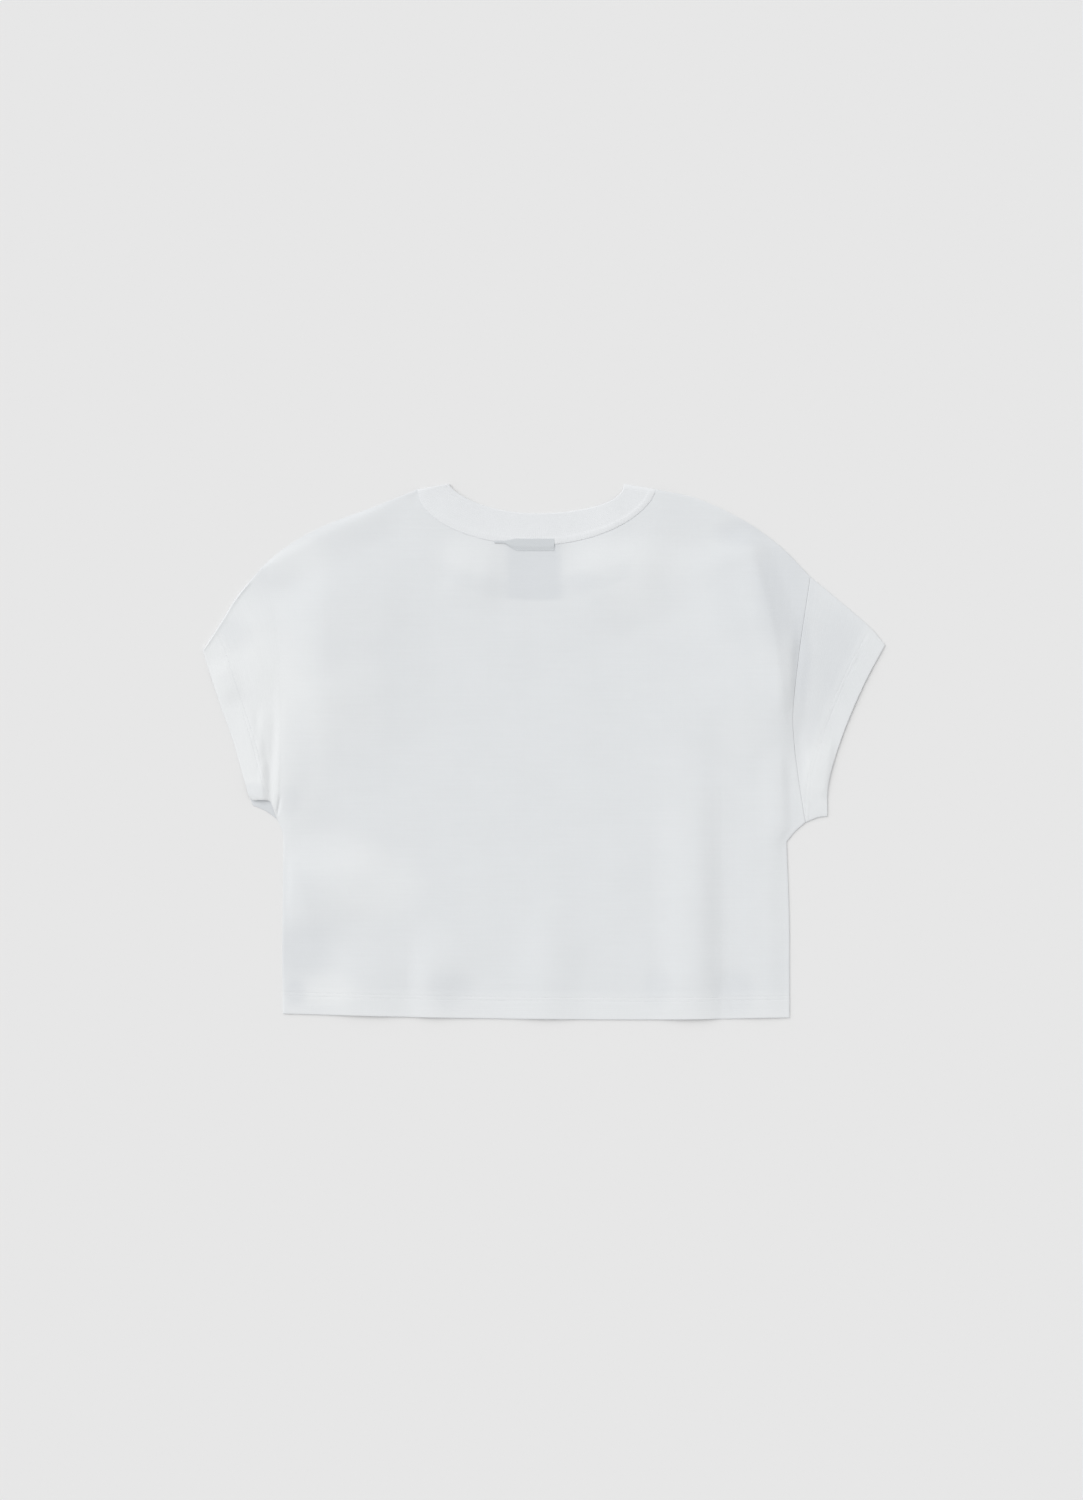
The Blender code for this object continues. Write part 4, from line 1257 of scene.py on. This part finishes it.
def neck_label():
    plan = np.stack(np.meshgrid(edged(*LABEL_X), edged(*LABEL_Y)), axis=2)
    tucked = 1 - step(plan[..., 0], *LABEL_TUCK)
    up = (plan[..., 1] - LABEL_Y[0]) / (LABEL_Y[1] - LABEL_Y[0])
    plan[..., 1] += tucked * (TUCKED_BOTTOM * (1 - up) - TUCKED_TOP * up)
    on_band = step(plan[..., 1] - back_seam(plan[..., 0]), *LABEL_STEP)
    low = over_plan(upper_layer, plan)[0] + JERSEY + (BAND_DOUBLE - JERSEY) * on_band + LABEL_CLEARANCE
    borders = [plan[:1], plan[-1:], plan[:, :1], plan[:, -1:]]
    away = np.min([away_from(plan, border) for border in borders], axis=0)
    low, high = rolled(away, low, low + LABEL_THICKNESS)
    backing_and_shade = np.ones(plan.shape[:2])
    return shell("label_tape", raised(plan, high), raised(plan, low), plan, backing_and_shade, TAPE)


label_cloth = neck_label()

# %% [markdown]
# ## Stitches
#
# The hem and the cuffs are turned up and held with a twin needle: two rows, 3 mm apart, of stitches about
# 3 mm long. On the face each row is a line of short straight threads, each pulled into the cloth at both
# ends. Sewing thread is spun and tightly twisted, so it is smoother than the jersey and catches a thin
# line of light. Stitches could be painted on, but real threads have their own light and shadow from every
# side. One small spindle is copied along the rows, and the rows of one edge are joined into one mesh.

# %% Material: white sewing thread
THREAD_RADIUS = 0.16
TWIST_DEPTH = 0.05  # the twist is much finer than a pixel, so it only softens the glint
THREAD_WHITE = "#E2E4E6"


def sewing_thread():
    material, tree = new_material("white_sewing_thread")
    twist = add_node(tree, "ShaderNodeTexWave", {"Scale": 1 / (THREAD_RADIUS * MM)})
    relief = add_node(tree, "ShaderNodeBump", {
        "Strength": 0.3, "Distance": TWIST_DEPTH * MM, "Height": twist.outputs[1],
    })
    surface = add_node(tree, "ShaderNodeBsdfPrincipled", {
        "Base Color": linear(THREAD_WHITE), "Roughness": 0.6, "Sheen Weight": 0.2,
        "Normal": relief.outputs[0],
    })
    add_node(tree, "ShaderNodeOutputMaterial", {"Surface": surface.outputs[0]})
    return material


SEWING_THREAD = sewing_thread()
print("thread", 2 * THREAD_RADIUS, "mm thick")

# %% One stitch
STITCH_LENGTH = 2.7
STITCH_SIDES = 6
STITCH_RINGS = np.array([0, 0.12, 0.35, 0.65, 0.88, 1])  # shares of its length
BLUNT = 0.06  # how far its ends are from a point


def spindle():
    """The points of one stitch, which lies along x, and its faces."""
    turn = np.linspace(0, 2 * np.pi, STITCH_SIDES, endpoint=False)
    fat = THREAD_RADIUS * np.sqrt(np.sin(np.pi * (BLUNT + (1 - 2 * BLUNT) * STITCH_RINGS)))[:, None]
    length = (STITCH_RINGS - 0.5)[:, None] * STITCH_LENGTH
    points = np.stack(np.broadcast_arrays(length, fat * np.cos(turn), fat * np.sin(turn)), axis=2)
    rings, sides = len(STITCH_RINGS), STITCH_SIDES
    faces = [
        [a * sides + b, a * sides + (b + 1) % sides, (a + 1) * sides + (b + 1) % sides, (a + 1) * sides + b]
        for a in range(rings - 1) for b in range(sides)
    ]
    caps = [list(range(sides))[::-1], [(rings - 1) * sides + k for k in range(sides)]]
    return points.reshape(-1, 3), faces + caps


SPINDLE, SPINDLE_FACES = spindle()
print("a stitch has", len(SPINDLE), "points and", len(SPINDLE_FACES), "faces")

# %% Rows of stitches
STITCH_PITCH = 3.1
FROM_FOLDED_END = 3.0


def beside(line, away):
    """A line moved sideways to its own left."""
    run = np.gradient(line, axis=0)
    run /= np.linalg.norm(run, axis=1)[:, None]
    return line + away * np.stack([-run[:, 1], run[:, 0]], axis=1)


def stitched(name, rows):
    """One mesh of stitches along rows. Each row is a line and the height of the cloth along it."""
    points, faces = [], []
    for line, height in rows:
        whole = length_of(line)
        count = int((whole - 2 * FROM_FOLDED_END) // STITCH_PITCH)
        at = (FROM_FOLDED_END + STITCH_PITCH * (np.arange(count) + 0.5)) / whole
        middles, ahead = along(line, at), along(line, at + STITCH_LENGTH / 2 / whole)
        forward = np.concatenate([ahead - middles, (height(ahead) - height(middles))[:, None]], axis=1)
        forward /= np.linalg.norm(forward, axis=1)[:, None]
        sideways = np.stack([-forward[:, 1], forward[:, 0], np.zeros(count)], axis=1)
        upwards = np.cross(forward, sideways)
        places = np.concatenate([middles, height(middles)[:, None]], axis=1)
        for place, axes in zip(places, np.stack([forward, sideways, upwards], axis=1)):
            start = len(points) * len(SPINDLE)
            points.append(place + SPINDLE @ axes)
            faces += [[start + k for k in face] for face in SPINDLE_FACES]
    piece = new_piece(name, np.concatenate(points), faces, SEWING_THREAD)
    piece.data.shade_smooth()
    print(f"{name}: {len(points)} stitches")
    return piece


# %% Stitches of the hem and the cuffs
THREAD_UP = 0.02  # how high a thread's middle is over the bottom of its dent


def on_upper(points):
    """Where a thread lies on the upper side."""
    return upper_layer(points)[1] + THREAD_UP


def on_underside(points):
    """Where a thread lies in its dent under the lower layer."""
    return np.full(len(points), THREAD_RADIUS)


def hem_rows(line, direction, height):
    return [(beside(line, direction * row), height) for row in STITCH_ROWS]


hem_stitches = {
    "back": stitched("hem_stitches_back", hem_rows(HEM_LINE, 1, on_upper)),
    "front": stitched("hem_stitches_front", hem_rows(HEM_LINE, 1, on_underside)),
}
cuff_stitches = {
    side: stitched(f"cuff_stitches_{name}", [
        *hem_rows(CUFF_LINES[side], -side, on_upper), *hem_rows(CUFF_LINES[side], -side, on_underside),
    ])
    for side, name in ((-1, "left"), (1, "right"))
}

# %% [markdown]
# ## The pieces and their solids
#
# Each piece of cloth stands for one solid, which is hidden, and is attached to the root body. The table
# also gives how large each piece was cut before sewing, in metres: width and length are the smallest
# rectangle that holds the cut, and area is the cut itself. The sleeves and the neckband are counted all
# round. The neckband is cut twice as wide, and its fold leaves the half that shows.

# %% What each piece stands for
Cut = namedtuple("Cut", "piece node slot width length area rests_on extras")
CUTS = (
    Cut(back_cloth, "back_panel", "jersey", 0.493, 0.495, 0.214, front_cloth, [hem_stitches["back"]]),
    Cut(front_cloth, "front_panel", "jersey", 0.493, 0.495, 0.201, board, [hem_stitches["front"]]),
    Cut(sleeve_cloths[-1], "sleeve_left", "jersey", 0.457, 0.110, 0.0245, board, [cuff_stitches[-1]]),
    Cut(sleeve_cloths[1], "sleeve_right", "jersey", 0.446, 0.110, 0.0253, board, [cuff_stitches[1]]),
    Cut(band_cloth, "neckband", "rib", 0.630, 0.0285, 0.0172, board, []),
    Cut(label_cloth, "neck_label", "label", 0.054, 0.011, None, back_cloth, []),
)
for cut in CUTS:
    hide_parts(cut.node)
    for piece in (cut.piece, *cut.extras):
        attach(piece, "root")
print(len(CUTS), "sheets")
